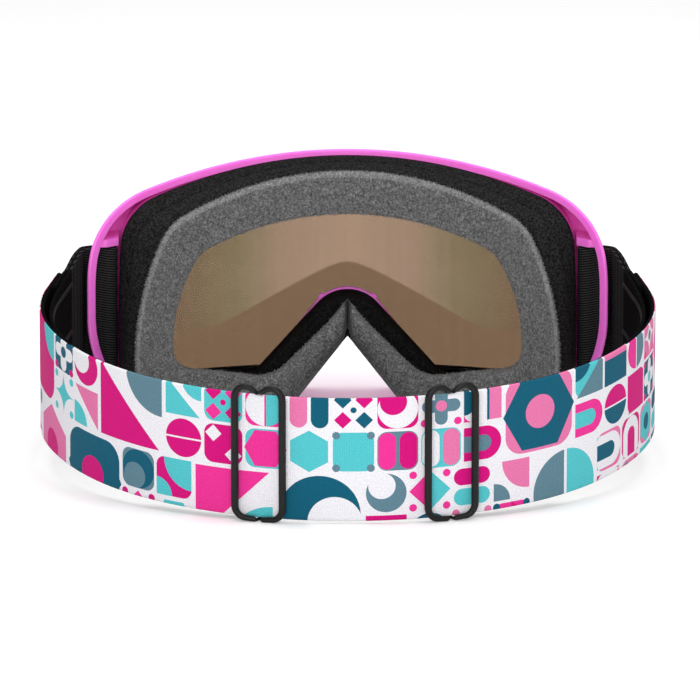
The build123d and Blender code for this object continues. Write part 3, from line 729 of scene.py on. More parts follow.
# %% Fleece facing with its numbers
def make_fleece_ring():
    points, cut_edge, pile = fleece_loops()
    fold = fold_over_nose(points)
    values = {
        "cut_edge": np.repeat(cut_edge[:, None], points.shape[1], axis=1),
        "pile": pile[:, None] * np.clip(1.3 - 2.5 * fold, 0, 1),  # none where the fold is over 0.52
        "fold": fold,
    }
    ring = ring_loft("fleece_facing", list(points), fleece_finish)
    for name, numbers in values.items():
        attribute = ring.data.attributes.new(name, "FLOAT", "POINT")
        attribute.data.foreach_set("value", numbers.ravel().astype(np.float32))
    return ring


fleece_facing = make_fleece_ring()

# %% [markdown]
# The pile is thousands of tiny tufts, each a three-sided spike under a millimetre long, scattered
# over the face and the edges and leaning at random. They make the edge look fuzzy. The same small
# shape many times over is work for Geometry Nodes: a tree with named inputs is run on a mesh, and
# what it makes is kept as a plain mesh.

# %% Geometry Nodes helpers
def new_tree(name, inputs):
    """A geometry tree with named inputs, given as label: kind of socket. Returns their sockets too."""
    tree = bpy.data.node_groups.new(name, "GeometryNodeTree")
    for label, kind in {"Geometry": "Geometry", **inputs, "Material": "Material"}.items():
        tree.interface.new_socket(label, in_out="INPUT", socket_type="NodeSocket" + kind)
    tree.interface.new_socket("Geometry", in_out="OUTPUT", socket_type="NodeSocketGeometry")
    return tree, tree.nodes.new("NodeGroupInput").outputs


def close_tree(tree, given, instances):
    """Ends a tree: the instances become real geometry with the given material."""
    real = add_node(tree, "GeometryNodeRealizeInstances", {"Geometry": instances})
    painted = add_node(tree, "GeometryNodeSetMaterial", {
        "Geometry": real.outputs["Geometry"], "Material": given["Material"],
    })
    add_node(tree, "NodeGroupOutput", {"Geometry": painted.outputs["Geometry"]})
    return tree


def grow(name, source, tree, **values):
    """Runs a tree on a mesh and returns what it makes as an object of its own."""
    carrier = add_object(name + "_carrier", source)
    modifier = carrier.modifiers.new("grow", "NODES")
    modifier.node_group = tree
    for item in tree.interface.items_tree:
        if item.in_out == "INPUT" and item.name in values:
            modifier[item.identifier] = values[item.name]
    return baked(name, carrier)


# %% Fleece pile
SHORTEST, LONGEST = 0.6, 1.25  # tufts, as shares of their length


def make_pile_tree():
    tree, given = new_tree("pile", {
        "Density": "Float", "Length": "Float", "Width": "Float", "Lean": "Float", "Seed": "Int",
    })
    named = add_node(tree, "GeometryNodeInputNamedAttribute", {"Name": "pile"}, data_type="FLOAT")
    hairy = Value(tree, named.outputs["Attribute"])
    scatter = add_node(tree, "GeometryNodeDistributePointsOnFaces", {
        "Mesh": given["Geometry"], "Seed": given["Seed"],
        "Density": hairy * Value(tree, given["Density"]),
    }).outputs
    tuft = add_node(tree, "GeometryNodeMeshCone", {
        "Vertices": 3, "Radius Top": 0.0, "Radius Bottom": given["Width"], "Depth": given["Length"],
    }, fill_type="TRIANGLE_FAN")
    lean = add_node(tree, "FunctionNodeRandomValue", {
        "Min": Value(tree, given["Lean"]) * -1.0, "Max": given["Lean"],
    }, data_type="FLOAT_VECTOR")
    turn = add_node(tree, "FunctionNodeRotateRotation", {
        "Rotation": scatter["Rotation"], "Rotate By": lean.outputs["Value"],
    }, rotation_space="LOCAL")
    size = add_node(tree, "FunctionNodeRandomValue", {
        2: SHORTEST, 3: LONGEST, "Seed": 5,
    }, data_type="FLOAT")
    plant = add_node(tree, "GeometryNodeInstanceOnPoints", {
        "Points": scatter["Points"], "Instance": tuft.outputs["Mesh"],
        "Rotation": turn.outputs["Rotation"], "Scale": size.outputs[1],
    })
    return close_tree(tree, given, plant.outputs["Instances"])


# %% Pile on the fleece
TUFTS_PER_MM2 = 2.6
fleece_pile = grow("fleece_pile", fleece_facing.data, make_pile_tree(), Density=TUFTS_PER_MM2 / MM**2,
                   Length=0.65 * MM, Width=0.13 * MM, Lean=0.7, Seed=4, Material=pile_finish)
place(fleece_pile, "goggles", "grey_fleece")
place(fleece_facing, "goggles", "grey_fleece", "face_fleece")


# %% [markdown]
# ## Lenses
#
# Both lenses are plates bent round the same axis, cut to the frame's outline. For each place across
# there is one lowest and one highest point, so a grid of columns fills them, with cleaner edges than
# a cut through a bent sheet. The outer lens is bronze all through and has a rose mirror on the
# outside. Its colour also holds a painted reflection: a little more olive beside the middle and
# deeper below a soft V. The inner lens is clear. The insides have an anti-fog coat that hardly reflects.

# %% Lens plates
LENS_COLUMNS = 150
LENS_ROWS = 22
SHARP = math.radians(40)
SEAT_INSET = WALL + SEAT_WIDTH + LENS_PLAY


def edge_heights(flat, columns):
    """Heights of the upper and lower edge of an outline at places across it."""
    turning = sum(STRETCHES[key] for key in ("top", "corner", "side"))
    half = len(flat) // 2 + 1
    upper = flat[:turning + 1]
    lower = flat[turning + STRETCHES["flat"]:half]
    high = np.interp(np.abs(columns), upper[:, 0], upper[:, 1])
    low = np.interp(np.abs(columns), lower[::-1, 0], lower[::-1, 1])
    return low, high


def lens_plate(name, inset, back_r, front_r, finishes):
    """A bent plate, back and front face and the rim between them. A second finish is for the front."""
    flat = outline(FRAME_SHAPE, inset)
    side = flat[:, 0].max()
    columns = side * np.sin(np.linspace(-1, 1, LENS_COLUMNS) * math.pi / 2)
    low, high = edge_heights(flat, columns)
    sheets = []
    for radius in (back_r, front_r):
        y = ahead_of(columns, radius)
        shares = np.linspace(0, 1, LENS_ROWS)[:, None]
        z = low + (high - top_drop(y) - low) * shares
        sheets.append(np.stack(np.broadcast_arrays(columns, y, z), axis=2))
    points = np.concatenate([sheet.reshape(-1, 3) for sheet in sheets])
    count = LENS_COLUMNS * LENS_ROWS
    sheet_faces = grid_faces(LENS_ROWS, LENS_COLUMNS, close_columns=False)
    faces = sheet_faces + [tuple(count + v for v in reversed(face)) for face in sheet_faces]
    top = (LENS_ROWS - 1) * LENS_COLUMNS
    rim = list(range(LENS_COLUMNS)) + [r * LENS_COLUMNS + LENS_COLUMNS - 1 for r in range(1, LENS_ROWS)]
    rim += [top + c for c in range(LENS_COLUMNS - 2, -1, -1)]
    rim += [r * LENS_COLUMNS for r in range(LENS_ROWS - 2, 0, -1)]
    faces += [(a, b, count + b, count + a) for a, b in zip(rim, rim[1:] + rim[:1])]
    plate = make_object(name, points, faces, finishes[0])
    for finish in finishes[1:]:
        plate.data.materials.append(finish)
        for polygon in plate.data.polygons[len(sheet_faces):2 * len(sheet_faces)]:
            polygon.material_index = 1
    face_outwards(plate)
    plate.data.set_sharp_from_angle(angle=SHARP)
    return plate


# %% Lens finishes
LENS_IOR = 1.08  # low, because thin coated plates hardly bend or reflect light
# Painted reflection: these colours lighten the middle, turn olive beside it, darken the sides and deepen
# below a soft V. The first is also the lens's own bronze.
BRONZE_MIDDLE = (0.341, 0.244, 0.174)
BRONZE_OLIVE = (0.203, 0.168, 0.100)
BRONZE_SIDE = (0.168, 0.112, 0.070)
REFLECTION_BELOW_V = (0.183, 0.124, 0.076)
REFLECTION_ABOVE_V = [(0.0, BRONZE_MIDDLE), (0.34, (0.305, 0.222, 0.160)), (0.58, BRONZE_OLIVE),
           (0.72, (0.184, 0.147, 0.086)), (0.92, BRONZE_SIDE)]
REFLECTION_REACH = 60 * MM  # how far across the stops above are spread
V_TOP = 42 * MM  # height of the V over the nose
V_FALL = 0.54
V_ROUND = 5 * MM
V_LEVEL = 21.4 * MM  # it levels out towards the sides
V_EASE = 6 * MM
V_BLUR = 0.8 * MM
STREAKS = 420  # across a metre


def make_bronze(name, roughness, **sockets):
    """Bronze with faint upright streaks, and a painted reflection by place: olive beside the middle,
    deeper below the V.
    """
    lens = Surface(name, BRONZE_MIDDLE, roughness, Transmission_Weight=1.0, IOR=LENS_IOR, **sockets)
    x, _, z = lens.parts(lens.place())
    # Painted reflection: deeper bronze below a soft V over the nose.
    valley = (x * x + V_ROUND**2).join("SQRT") - V_ROUND
    edge = (valley * -V_FALL + V_TOP).join("SMOOTH_MAX", V_LEVEL, V_EASE)
    below = ((edge - z) / V_BLUR + 0.5).least(1.0).most(0.0)
    colour = lens.mix(below, lens.ramp(x.size() / REFLECTION_REACH, REFLECTION_ABOVE_V), REFLECTION_BELOW_V)
    streaks = lens.node("TexNoise", {"W": x, "Scale": STREAKS}, noise_dimensions="1D")
    lens.colour(lens.shade(colour, streaks.outputs["Fac"], 0.965, 1.02))
    return lens.material


# %% Both lenses
bronze_lens = make_bronze("bronze_lens", 0.02)
rose_mirror = make_bronze("rose_mirror", 0.03, Coat_Weight=0.4, Coat_IOR=1.5, Coat_Roughness=0.02,
                          Coat_Tint=(1.0, 0.86, 0.80))
clear_lens = uneven("clear_inner_lens", grey(0.98), 0.015, gloss=(40, 2, 0.010, 0.022),
                    Transmission_Weight=1.0, IOR=LENS_IOR).material
outer_lens = lens_plate("outer_lens_plate", WALL + LENS_PLAY, LENS_R, LENS_R + LENS,
                        [bronze_lens, rose_mirror])
place(outer_lens, "goggles", "lens_tint", "outer_lens")
inner_back = LENS_R - SPACER - INNER_LENS
inner_lens = lens_plate("inner_lens_plate", SEAT_INSET, inner_back, inner_back + INNER_LENS,
                        [clear_lens])
place(inner_lens, "goggles", "lens_tint", "inner_lens")

# %% [markdown]
# ## Foam that stays hidden
#
# A thin foam ring holds the two lenses apart, and strips of open foam lie behind the vents. They
# are lofts and slabs from the same outlines, with the foam finish. The ring is squeezed between the
# lenses, so no more than a narrow black line of it shows.

# %% Spacer ring
spacer_finish = make_foam("spacer_foam", 0.012, 0.040)
spacer_outer = outline(FRAME_SHAPE, SEAT_INSET)
spacer_inner = outline(FRAME_SHAPE, SEAT_INSET + SPACER_WIDTH)


def sloped_ring(name, outer, inner, back_r, front_r, material):
    """A flat-sided ring between two outlines whose upper half runs down towards the lens."""
    loops = [on_cylinder(outer, radius, True) for radius in np.linspace(back_r, front_r, 5)]
    loops += [on_cylinder(inner, radius, True) for radius in np.linspace(front_r, back_r, 5)]
    return ring_loft(name, loops, material)


spacer_ring = sloped_ring("spacer_ring", spacer_outer, spacer_inner, LENS_R - SPACER + EASE,
                          LENS_R - EASE, spacer_finish)
place(spacer_ring, "goggles", "spacer_foam", "lens_spacer")


# %% Vent foam
VENT_HALF = 44 * MM
LOW_VENT_START = 29.5 * MM


def vent_strip(name, start, end, material):
    """A strip of foam against the inside of the wall, from one place across to another."""
    loops = []
    outer = outline(FRAME_SHAPE, WALL + EASE)
    inner = outline(FRAME_SHAPE, WALL + VENT_FOAM)
    back_r, front_r = FACE_R + FLANGE + 2 * EASE, SEAT_R - 2 * EASE
    upper = start < 0 < end
    columns = np.linspace(start, end, 60 if upper else 16)
    picked = []
    for flat in (outer, inner):
        low, high = edge_heights(flat, columns)
        picked.append(np.stack([columns, high if upper else low], axis=1))
    at_wall, inside = picked
    for flat, radius in ((at_wall, back_r), (at_wall, front_r), (inside, front_r), (inside, back_r)):
        y = ahead_of(flat[:, 0], radius)
        drop = top_drop(y) if upper else 0.0
        loops.append(np.stack([flat[:, 0], y, flat[:, 1] - drop], axis=1))
    points = np.array(loops).transpose(1, 0, 2)
    faces = grid_faces(len(columns), 4)
    faces += [(3, 2, 1, 0), tuple(4 * (len(columns) - 1) + i for i in range(4))]
    strip_piece = make_object(name, points.reshape(-1, 3), faces, material, smooth=False)
    face_outwards(strip_piece)
    place(strip_piece, "goggles", "vent_mesh", name.replace("vent_strip", "vent_foam"))


vent_finish = make_foam("open_vent_foam", 0.010, 0.035)
vent_strip("top_vent_strip", -VENT_HALF, VENT_HALF, vent_finish)
vent_strip("bottom_vent_strip_right", LOW_VENT_START, VENT_HALF, vent_finish)
vent_strip("bottom_vent_strip_left", -VENT_HALF, -LOW_VENT_START, vent_finish)


# %% [markdown]
# ## Strap line
#
# Seen square to its own plane, the strap is a rear arc, a tighter side arc and a straight run in to
# the frame. A bevelled curve could draw it. As a formula, the line lets every ply keep its own depth
# inside the band's outer face, and the rear arc keeps the centre that the sliders travel round.

# %% Strap line
rear_y = REAR_R - STRAP_REACH
side_arc_r = (STRAP_HALF - REAR_R * math.sin(REAR_TURN)) / (1 - math.sin(REAR_TURN))
side_x = (REAR_R - side_arc_r) * math.sin(REAR_TURN)
side_y = rear_y - (REAR_R - side_arc_r) * math.cos(REAR_TURN)
gate_x = FRAME_SIDE + STRAP_GAP + RUN_DEPTH + WEB
lean = (math.atan2(-PLY_Y - side_y, gate_x - side_x)
        - math.acos(side_arc_r / math.hypot(gate_x - side_x, -PLY_Y - side_y)))
rear_length = REAR_R * REAR_TURN
side_length = side_arc_r * (lean + math.pi / 2 - REAR_TURN)


def strap_point(along, depth):
    """Place in the strap's plane, and the outward direction, at a distance round from the centre."""
    side = -1 if along < 0 else 1
    run = abs(along)
    if run <= rear_length:
        turn = run / REAR_R
        x, y = (REAR_R - depth) * math.sin(turn), rear_y - (REAR_R - depth) * math.cos(turn)
        out = (math.sin(turn), -math.cos(turn))
    else:
        turn = min((run - rear_length) / side_arc_r, side_length / side_arc_r) + REAR_TURN - math.pi / 2
        x = side_x + (side_arc_r - depth) * math.cos(turn)
        y = side_y + (side_arc_r - depth) * math.sin(turn)
        out = (math.cos(turn), math.sin(turn))
        straight = max(run - rear_length - side_length, 0)
        x, y = x - straight * math.sin(lean), y + straight * math.cos(lean)
    return side * x, y, side * out[0], out[1]


def along_at(y, depth=0.0):
    """How far round the band its straight run reaches a place ahead of or behind the anchors."""
    start = side_y + (side_arc_r - depth) * math.sin(lean)
    return rear_length + side_length + (y - start) / math.cos(lean)


def to_world(x, y, height):
    return anchor + strap_across * x + strap_ahead * y + strap_up * height


# %% How the strap hangs
SAG = 1.35 * MM  # the elastic hangs a little below its plane at the back
SAG_START = 80 * MM
SAG_END = 125 * MM


def smooth_share(value, start, end):
    share = min(max((value - start) / (end - start), 0.0), 1.0)
    return share * share * (3 - 2 * share)


def hanging(x, y, height):
    """A place in the world on a ply that hangs a little towards the back."""
    return to_world(x, y, height - SAG * smooth_share(-y, SAG_START, SAG_END))


band_reach = along_at(BAND_END)
print("band length", round(2 * band_reach / MM), "mm")


# %% [markdown]
# Every ply is a strip: one closed section carried along a path. Thickening a sheet would do too, but
# a section can have ribs and rounded edges of its own. The strip gets a UV map in metres, along and
# across, which the print, the knit and the ribs follow.

# %% Strips that follow a line
def strip_section(thickness, width, cells, ribs=0, rib_depth=0.0):
    """Closed section of a strap ply, as (depth, height), with softly rounded edges and maybe ribs."""
    half, edge = width / 2, thickness / 2
    heights = np.linspace(-half + edge * 0.45, half - edge * 0.45, cells + 1)
    sunk = rib_depth * (0.5 - 0.5 * np.cos(2 * math.pi * ribs * (heights + half) / width))
    section = [(-edge + s, h) for h, s in zip(heights, sunk)]
    turn = [(-edge * 0.55, half - edge * 0.1), (0.0, half), (edge * 0.55, half - edge * 0.1)]
    section += turn
    section += [(edge - s, h) for h, s in zip(heights[::-1], sunk[::-1])]
    section += [(-depth, -height) for depth, height in turn]
    return section


def strip(name, path, section, material, bend=hanging, widths=None):
    """A strap ply: the section carried along a path of (x, y, out_x, out_y)."""
    points = []
    if widths is None:
        widths = [1.0] * len(path)
    runs = [0.0]
    for before, after in zip(path, path[1:]):
        runs.append(runs[-1] + math.hypot(after[0] - before[0], after[1] - before[1]))
    for (x, y, out_x, out_y), width in zip(path, widths):
        for depth, height in section:
            points.append(bend(x - out_x * depth, y - out_y * depth, height * width))
    columns = len(section)
    faces = grid_faces(len(path), columns)
    last = (len(path) - 1) * columns
    faces.append(tuple(range(columns)))
    faces.append(tuple(reversed(range(last, last + columns))))
    piece = make_object(name, points, faces, material)
    uv = piece.data.uv_layers.new(name="cloth")
    for loop, spot in zip(piece.data.loops, uv.data):
        row, column = divmod(loop.vertex_index, columns)
        spot.uv = (runs[row], section[column][1])
    face_outwards(piece)
    return piece


# %% Paths for the strips
def path_between(start, end, depth, step):
    """Path points from one distance along the strap to another, at a depth."""
    count = max(int(abs(end - start) / step), 2) + 1
    return [strap_point(run, depth) for run in np.linspace(start, end, count)]


def drawn_path(flat):
    """Path points, with outward directions, through points that are given in the strap's plane."""
    flat = np.array(flat)
    ahead = np.gradient(flat, axis=0)
    ahead /= np.linalg.norm(ahead, axis=1)[:, None]
    return [(x, y, ay, -ax) for (x, y), (ax, ay) in zip(flat, ahead)]


def mirrored(path):
    return [(-x, y, -out_x, out_y) for x, y, out_x, out_y in path]


# %% [markdown]
# ## Printed elastic
#
# The outside of the strap is a fine knitted elastic, printed edge to edge with plain geometric
# motifs in three pinks, teal, aqua and slate on white. The print is a shader on the strap's UV map.
# An image would blur close up, while sums of simple shapes stay sharp. The cloth is divided into
# cells, and some blocks of two by two cells are one big cell. Each cell draws its motif, its ground
# and its colours by chance, and a fine knit lies over all of it.

# %% Motifs of the print
PINK_DEEP = (0.62, 0.004, 0.19)
PINK_HOT = (0.80, 0.032, 0.29)
PINK_SOFT = (0.74, 0.175, 0.38)
TEAL = (0.004, 0.100, 0.165)
AQUA = (0.085, 0.52, 0.56)
SLATE = (0.110, 0.215, 0.27)
CLOTH_WHITE = (0.80, 0.79, 0.83)
PALETTE = [PINK_HOT, TEAL, PINK_DEEP, AQUA, PINK_SOFT, SLATE,
           PINK_HOT, PINK_DEEP, TEAL, PINK_SOFT, AQUA, PINK_DEEP]
CELL = 13.6 * MM
EDGE = 0.465  # motifs stop this far from the middle of their cell
BIG_SHARE = 0.42  # of the blocks are one big cell
BIG_SEED = 3.7
GROUND_SHARE = 0.42  # of the cells have a coloured ground
RAISED = 4.3  # the pattern's rows start this many cells below the middle
ROW_SHIFT = 0.74  # each double row is shifted by so much of a cell
FAR_CELL = 100.0  # keeps the columns' numbers positive
BIG_CELLS = 500.0  # sets big cells' numbers apart from those of small ones, so they draw their own


def motif_masks(x, y):
    """First colour, second colour and small dots of each motif, in a cell from -0.5 to 0.5."""
    ax, ay = x.size(), y.size()
    far = distance(x, y)
    cell = ax.most(ay) < EDGE
    dots = distance(ax - 0.39, ay - 0.39) < 0.09
    none = far < -1.0
    halves = (ax - 0.24).size()
    pills = distance(halves, (ay - 0.24).most(0.0)) < 0.20
    door = (ax < 0.40) * (y < 0.06) * cell + (distance(x, y - 0.06) < 0.40) * (y > 0.06)
    inner_door = (ax < 0.19) * (y < 0.02) * cell + (distance(x, y - 0.02) < 0.19) * (y > 0.02)
    plus = distance(ax.least(ay), (ax.most(ay) - 0.30).most(0.0)) < 0.15
    moon_hole = distance(x - 0.17, y - 0.10)
    corner = distance(x + EDGE, y + EDGE)
    other_corner = distance(x - EDGE, y - EDGE)
    small = (halves + (ay - 0.24).size()) < 0.20
    bite = distance(x - EDGE, y) > 0.30
    return [
        ((ax + ay) < 0.48, ((ax + ay) < 0.48) * (x > 0.0), dots),  # diamond in two halves
        (pills * (x > 0.0), pills * (x < 0.0), none),  # two pills
        ((far < 0.46) * (y > 0.02), (far < 0.46) * (y < -0.02), none),  # split disc
        ((ax.join("SQRT") + ay.join("SQRT")) < 0.74, far < 0.12, dots),  # star with four points
        (door, inner_door, none),  # arch in an arch
        (plus, far < 0.13, dots),  # rounded cross
        ((ax * 0.866 + ay * 0.5).most(ay) < 0.43, far < 0.20, none),  # hexagon round a disc
        ((far < 0.46) * (moon_hole > 0.31), corner < 0.0, none),  # moon
        ((corner < 0.72) * cell, (other_corner < 0.42) * cell, none),  # quarter discs in two corners
        (small * (x * y > 0.0), small * (x * y < 0.0), far < 0.07),  # four small diamonds
        (cell * bite * (x > -0.1), cell * (x < -0.16), none),  # bitten block beside a bar
        ((x + y > 0.04) * cell, (x + y < -0.04) * cell * (corner < 0.52), none),  # triangle and fan
    ]


# %% Cells of the print
def find_cell(cloth, run, height):
    """The cell that a place lies in: the place within it, from -0.5 to 0.5, and the cell's draws."""
    up = height / CELL + RAISED
    big_row = (up * 0.5).join("FLOOR")
    across = run / CELL + big_row * ROW_SHIFT + FAR_CELL
    big_column = (across * 0.5).join("FLOOR")
    row, column = up.join("FLOOR"), across.join("FLOOR")

    def number_from(first, second, seed):
        """A number from 0 to 1 that belongs to two whole numbers."""
        pair = cloth.node("CombineXYZ", {0: first, 1: second}).outputs[0]
        chance = cloth.node("TexWhiteNoise", {"Vector": pair, "W": seed}, noise_dimensions="4D")
        return Value(cloth.tree, chance.outputs["Value"])

    big = number_from(big_column, big_row, BIG_SEED) < BIG_SHARE
    small = big * -1.0 + 1.0
    cell_x = column * small + (big_column + BIG_CELLS) * big
    cell_y = row * small + (big_row + BIG_CELLS) * big
    local_x = (across - column) * small + (across * 0.5 - big_column) * big - 0.5
    local_y = (up - row) * small + (up * 0.5 - big_row) * big - 0.5

    def draw(seed):
        """A number from 0 to 1 for each cell. Every draw has a seed of its own."""
        return number_from(cell_x, cell_y, seed)

    return local_x, local_y, draw


# %% One motif for each cell
def choose_motif(local_x, local_y, draw):
    """The three masks of the motif that the cell draws, turned and mirrored by chance."""
    turned = draw(1.7) > 0.5
    straight = turned * -1.0 + 1.0
    x = (local_x * straight + local_y * turned) * ((draw(2.3) > 0.5) * 2.0 - 1.0)
    y = (local_y * straight + local_x * turned) * ((draw(3.1) > 0.5) * 2.0 - 1.0)
    motifs = motif_masks(x, y)
    pick = (draw(4.9) * float(len(motifs))).join("FLOOR")
    layers = [None, None, None]
    for number, masks in enumerate(motifs):
        chosen = (pick > number - 0.5) * (pick < number + 0.5)
        for layer, mask in enumerate(masks):
            share = mask * chosen
            layers[layer] = share if layers[layer] is None else layers[layer] + share
    return layers


# %% Print on the elastic
PRINT_KNIT = 0.55 * MM
BOX_STRAIGHT = 0.24  # half of the straight side of a coloured ground


def make_print():
    cloth = Surface("printed_elastic", CLOTH_WHITE, 0.85, Specular_IOR_Level=0.1, Sheen_Weight=0.05)
    place = cloth.place("cloth")
    run, height, _ = cloth.parts(place)
    local_x, local_y, draw = find_cell(cloth, run, height)
    layers = choose_motif(local_x, local_y, draw)

    def palette(number):
        stops = [(index / len(PALETTE), colour) for index, colour in enumerate(PALETTE)]
        return cloth.ramp(number.join("FRACT"), stops, constant=True)

    tone = draw(6.2)
    ax, ay = local_x.size(), local_y.size()
    past_x, past_y = (ax - BOX_STRAIGHT).most(0.0), (ay - BOX_STRAIGHT).most(0.0)
    rounded_box = distance(past_x, past_y) < EDGE - BOX_STRAIGHT
    ground = (draw(8.8) < GROUND_SHARE) * rounded_box
    inverted = ground * (draw(5.3) < 0.5)
    colour = cloth.mix(ground, CLOTH_WHITE, palette(tone + draw(9.5) * 0.4 + 0.3))
    first = cloth.mix(inverted, palette(tone), CLOTH_WHITE)
    colour = cloth.mix(layers[0], colour, first)
    colour = cloth.mix(layers[1], colour, palette(tone + draw(7.4) * 0.5 + 0.2))
    colour = cloth.mix(layers[2], colour, palette(tone + 0.55))
    colour = cloth.shade(colour, cloth.noise(place, 2300, 3, 0.7), 0.78, 1.10)
    cloth.colour(colour)
    knit(cloth, place, PRINT_KNIT)
    return cloth.material


# %% Knit
WAVES = 3.18  # bands of the wave texture in each unit of its scale


def knit(surface, place, pitch):
    """Fine rows and wales of a knitted elastic, as bump."""
    for direction, depth in (("X", 0.10 * MM), ("Y", 0.07 * MM)):
        wave = surface.node("TexWave", {
            "Vector": place, "Scale": 1 / pitch / WAVES,
            "Distortion": 0.8, "Detail": 1.0, "Detail Scale": 2.0,
        }, wave_type="BANDS", bands_direction=direction)
        surface.bump(wave.outputs["Fac"], depth, 0.55)


# %% [markdown]
# Inside, the band and the adjuster webbing are black. The band's back is a fine, dull knit; the
# webbing is ribbed along its length, with a slight slant, like the rolls at the frame.

# %% Black elastic and webbing
BACK_KNIT = 0.6 * MM
RIB = 0.8 * MM
RIB_SLANT = 0.18
RIB_DEPTH = 0.16 * MM
THREAD_DEPTH = 0.15 * MM


def make_black_elastic():
    web = uneven("black_elastic", grey(0.003), 0.95, colour=(900, 3, 0.002, 0.0045),
                 gloss=(300, 2, 0.85, 0.95), uv="cloth", Specular_IOR_Level=0.02)
    knit(web, web.place("cloth"), BACK_KNIT)
    return web.material


def make_ribbed_web(name, crest, hollow):
    web = Surface(name, grey(hollow), 0.9, Specular_IOR_Level=0.04)
    place = web.place("cloth")
    run, height, _ = web.parts(place)
    twill = (((height + run * RIB_SLANT) / RIB).join("FRACT") - 0.5).size()
    thread = web.noise(place, 2600, 3, 0.7)
    # Painted shade: lighter on the ribs' crests and darker in their hollows, following the bump.
    web.colour(web.shade(web.between(twill * 2.0, crest, hollow, 0.2, 0.8), thread, 0.5, 1.4))
    web.bump(twill * -1.0, RIB_DEPTH, 0.8)
    web.bump(thread, THREAD_DEPTH, 0.6)
    return web.material


print_finish = make_print()
black_elastic = make_black_elastic()
ribbed_web = make_ribbed_web("ribbed_webbing", 0.0028, 0.0015)
rolled_web = make_ribbed_web("ribbed_webbing_roll", 0.034, 0.002)

# %% Printed band
BAND_CELLS = 40
BAND_STEP = 0.8 * MM
BLACK_EDGE_FROM = 86 * MM  # beyond this far across, the print stops short of the band's edges
BACK_FROM = -0.01 * MM  # the section's points deeper than this are the band's back
EDGE_FROM = -0.49 * BAND  # and those deeper than this its back and edges
band_section = strip_section(BAND, STRAP_WIDTH, BAND_CELLS)
band_path = path_between(-band_reach, band_reach, BAND / 2, BAND_STEP)
printed_band = strip("printed_band_cloth", band_path, band_section, print_finish)
printed_band.data.materials.append(black_elastic)
inside = {number for number, (depth, _) in enumerate(band_section) if depth > BACK_FROM}
edges = {number for number, (depth, _) in enumerate(band_section) if depth > EDGE_FROM}
for polygon in printed_band.data.polygons:
    rows, columns = zip(*(divmod(v, len(band_section)) for v in polygon.vertices))
    at_side = abs(band_path[rows[0]][0]) > BLACK_EDGE_FROM
    if set(columns) <= (edges if at_side else inside):
        polygon.material_index = 1
place(printed_band, "strap", "printed_web", "printed_band")

# %% [markdown]
# ## Webbing at the frame
#
# The webbing comes in along the inside of the strap, passes through the slot in the frame, turns
# round the anchor bar and comes out again to be sewn under the band. At the bar it stays level with
# the goggles; behind them it already follows the strap.

# %% Webbing round the anchor bars
FOLD_START = 4 * MM
FOLD_END = 22 * MM
ROLL_STEP = 0.5 * MM


def level_at_bar(x, y, height):
    """Between level with the goggles, at the bar, and in the strap's own plane, behind them."""
    turn = strap_drop * smooth_share(-y, FOLD_START, FOLD_END)
    return anchor + Vector((x, y * math.cos(turn) - height * math.sin(turn),
                            y * math.sin(turn) + height * math.cos(turn)))


def rounded(corners, radii, step):
    """Points along a polyline whose inner corners are rounded."""
    corners = [np.array(c, float) for c in corners]
    points = [corners[0]]
    for before, corner, after, radius in zip(corners, corners[1:], corners[2:], radii):
        back, ahead = before - corner, after - corner
        back, ahead = back / np.linalg.norm(back), ahead / np.linalg.norm(ahead)
        half = math.acos(np.clip(back @ ahead, -1, 1)) / 2
        middle = (back + ahead) / np.linalg.norm(back + ahead)
        centre = corner + middle * radius / math.sin(half)
        touch = radius / math.tan(half)
        start, end = corner + back * touch - centre, corner + ahead * touch - centre
        turn = math.atan2(start[0] * end[1] - start[1] * end[0], start @ end)
        for angle in np.linspace(0, turn, 9):
            c, s = math.cos(angle), math.sin(angle)
            points.append(centre + np.array([start[0] * c - start[1] * s, start[0] * s + start[1] * c]))
    points.append(corners[-1])
    filled = [points[0]]
    for before, after in zip(points, points[1:]):
        count = max(int(round(np.linalg.norm(after - before) / step)), 1)
        filled += [before + (after - before) * (k + 1) / count for k in range(count)]
    return filled


# %% One roll of webbing on each side
def run_place(depth, y):
    """Place on the straight run at a depth, level with a distance from the anchors' line."""
    x, y, _, _ = strap_point(along_at(y, depth), depth)
    return (x, y)


inner_depth, outer_depth = RUN_DEPTH + WEB / 2, BAND + WEB / 2
turn_inner = WEB / 2 + PLY_GAP
turn_outer = turn_inner + 2 * PLY_Y - WEB
wrap_in = [run_place(inner_depth, -FOLD_END), run_place(inner_depth, -PLY_Y), (BAR_X, -PLY_Y)]
wrap_points = rounded(wrap_in, [turn_inner], ROLL_STEP)
wrap_points += [(BAR_X - PLY_Y * math.sin(turn), -PLY_Y * math.cos(turn))
                for turn in np.linspace(0, math.pi, 25)[1:]]
wrap_out = [(BAR_X, PLY_Y), run_place(outer_depth, PLY_Y), run_place(outer_depth, -FOLD_END)]
wrap_points += rounded(wrap_out, [turn_outer], ROLL_STEP)[1:]
wrap_path = drawn_path([tuple(p) for p in wrap_points])
roll_ribs = round(STRAP_WIDTH / RIB)
roll_section = strip_section(WEB, STRAP_WIDTH, 4 * roll_ribs, roll_ribs, RIB_DEPTH)
print("points round the bar", len(wrap_path))

for side, path in (("right", wrap_path), ("left", mirrored(wrap_path))):
    roll = strip(f"anchor_webbing_{side}", path, roll_section, rolled_web, level_at_bar)
    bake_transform(roll)
    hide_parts(f"anchor_web_{side}")
    print(roll.name, "bends and has", len(roll.data.polygons), "faces")

# %% [markdown]
# ## Webbing inside the strap
#
# From the fold the inner ply runs on along the inside of the band to the slider, and the outer ply
# ends sewn under the band. Three thin silicone beads on the head side keep the strap from slipping.

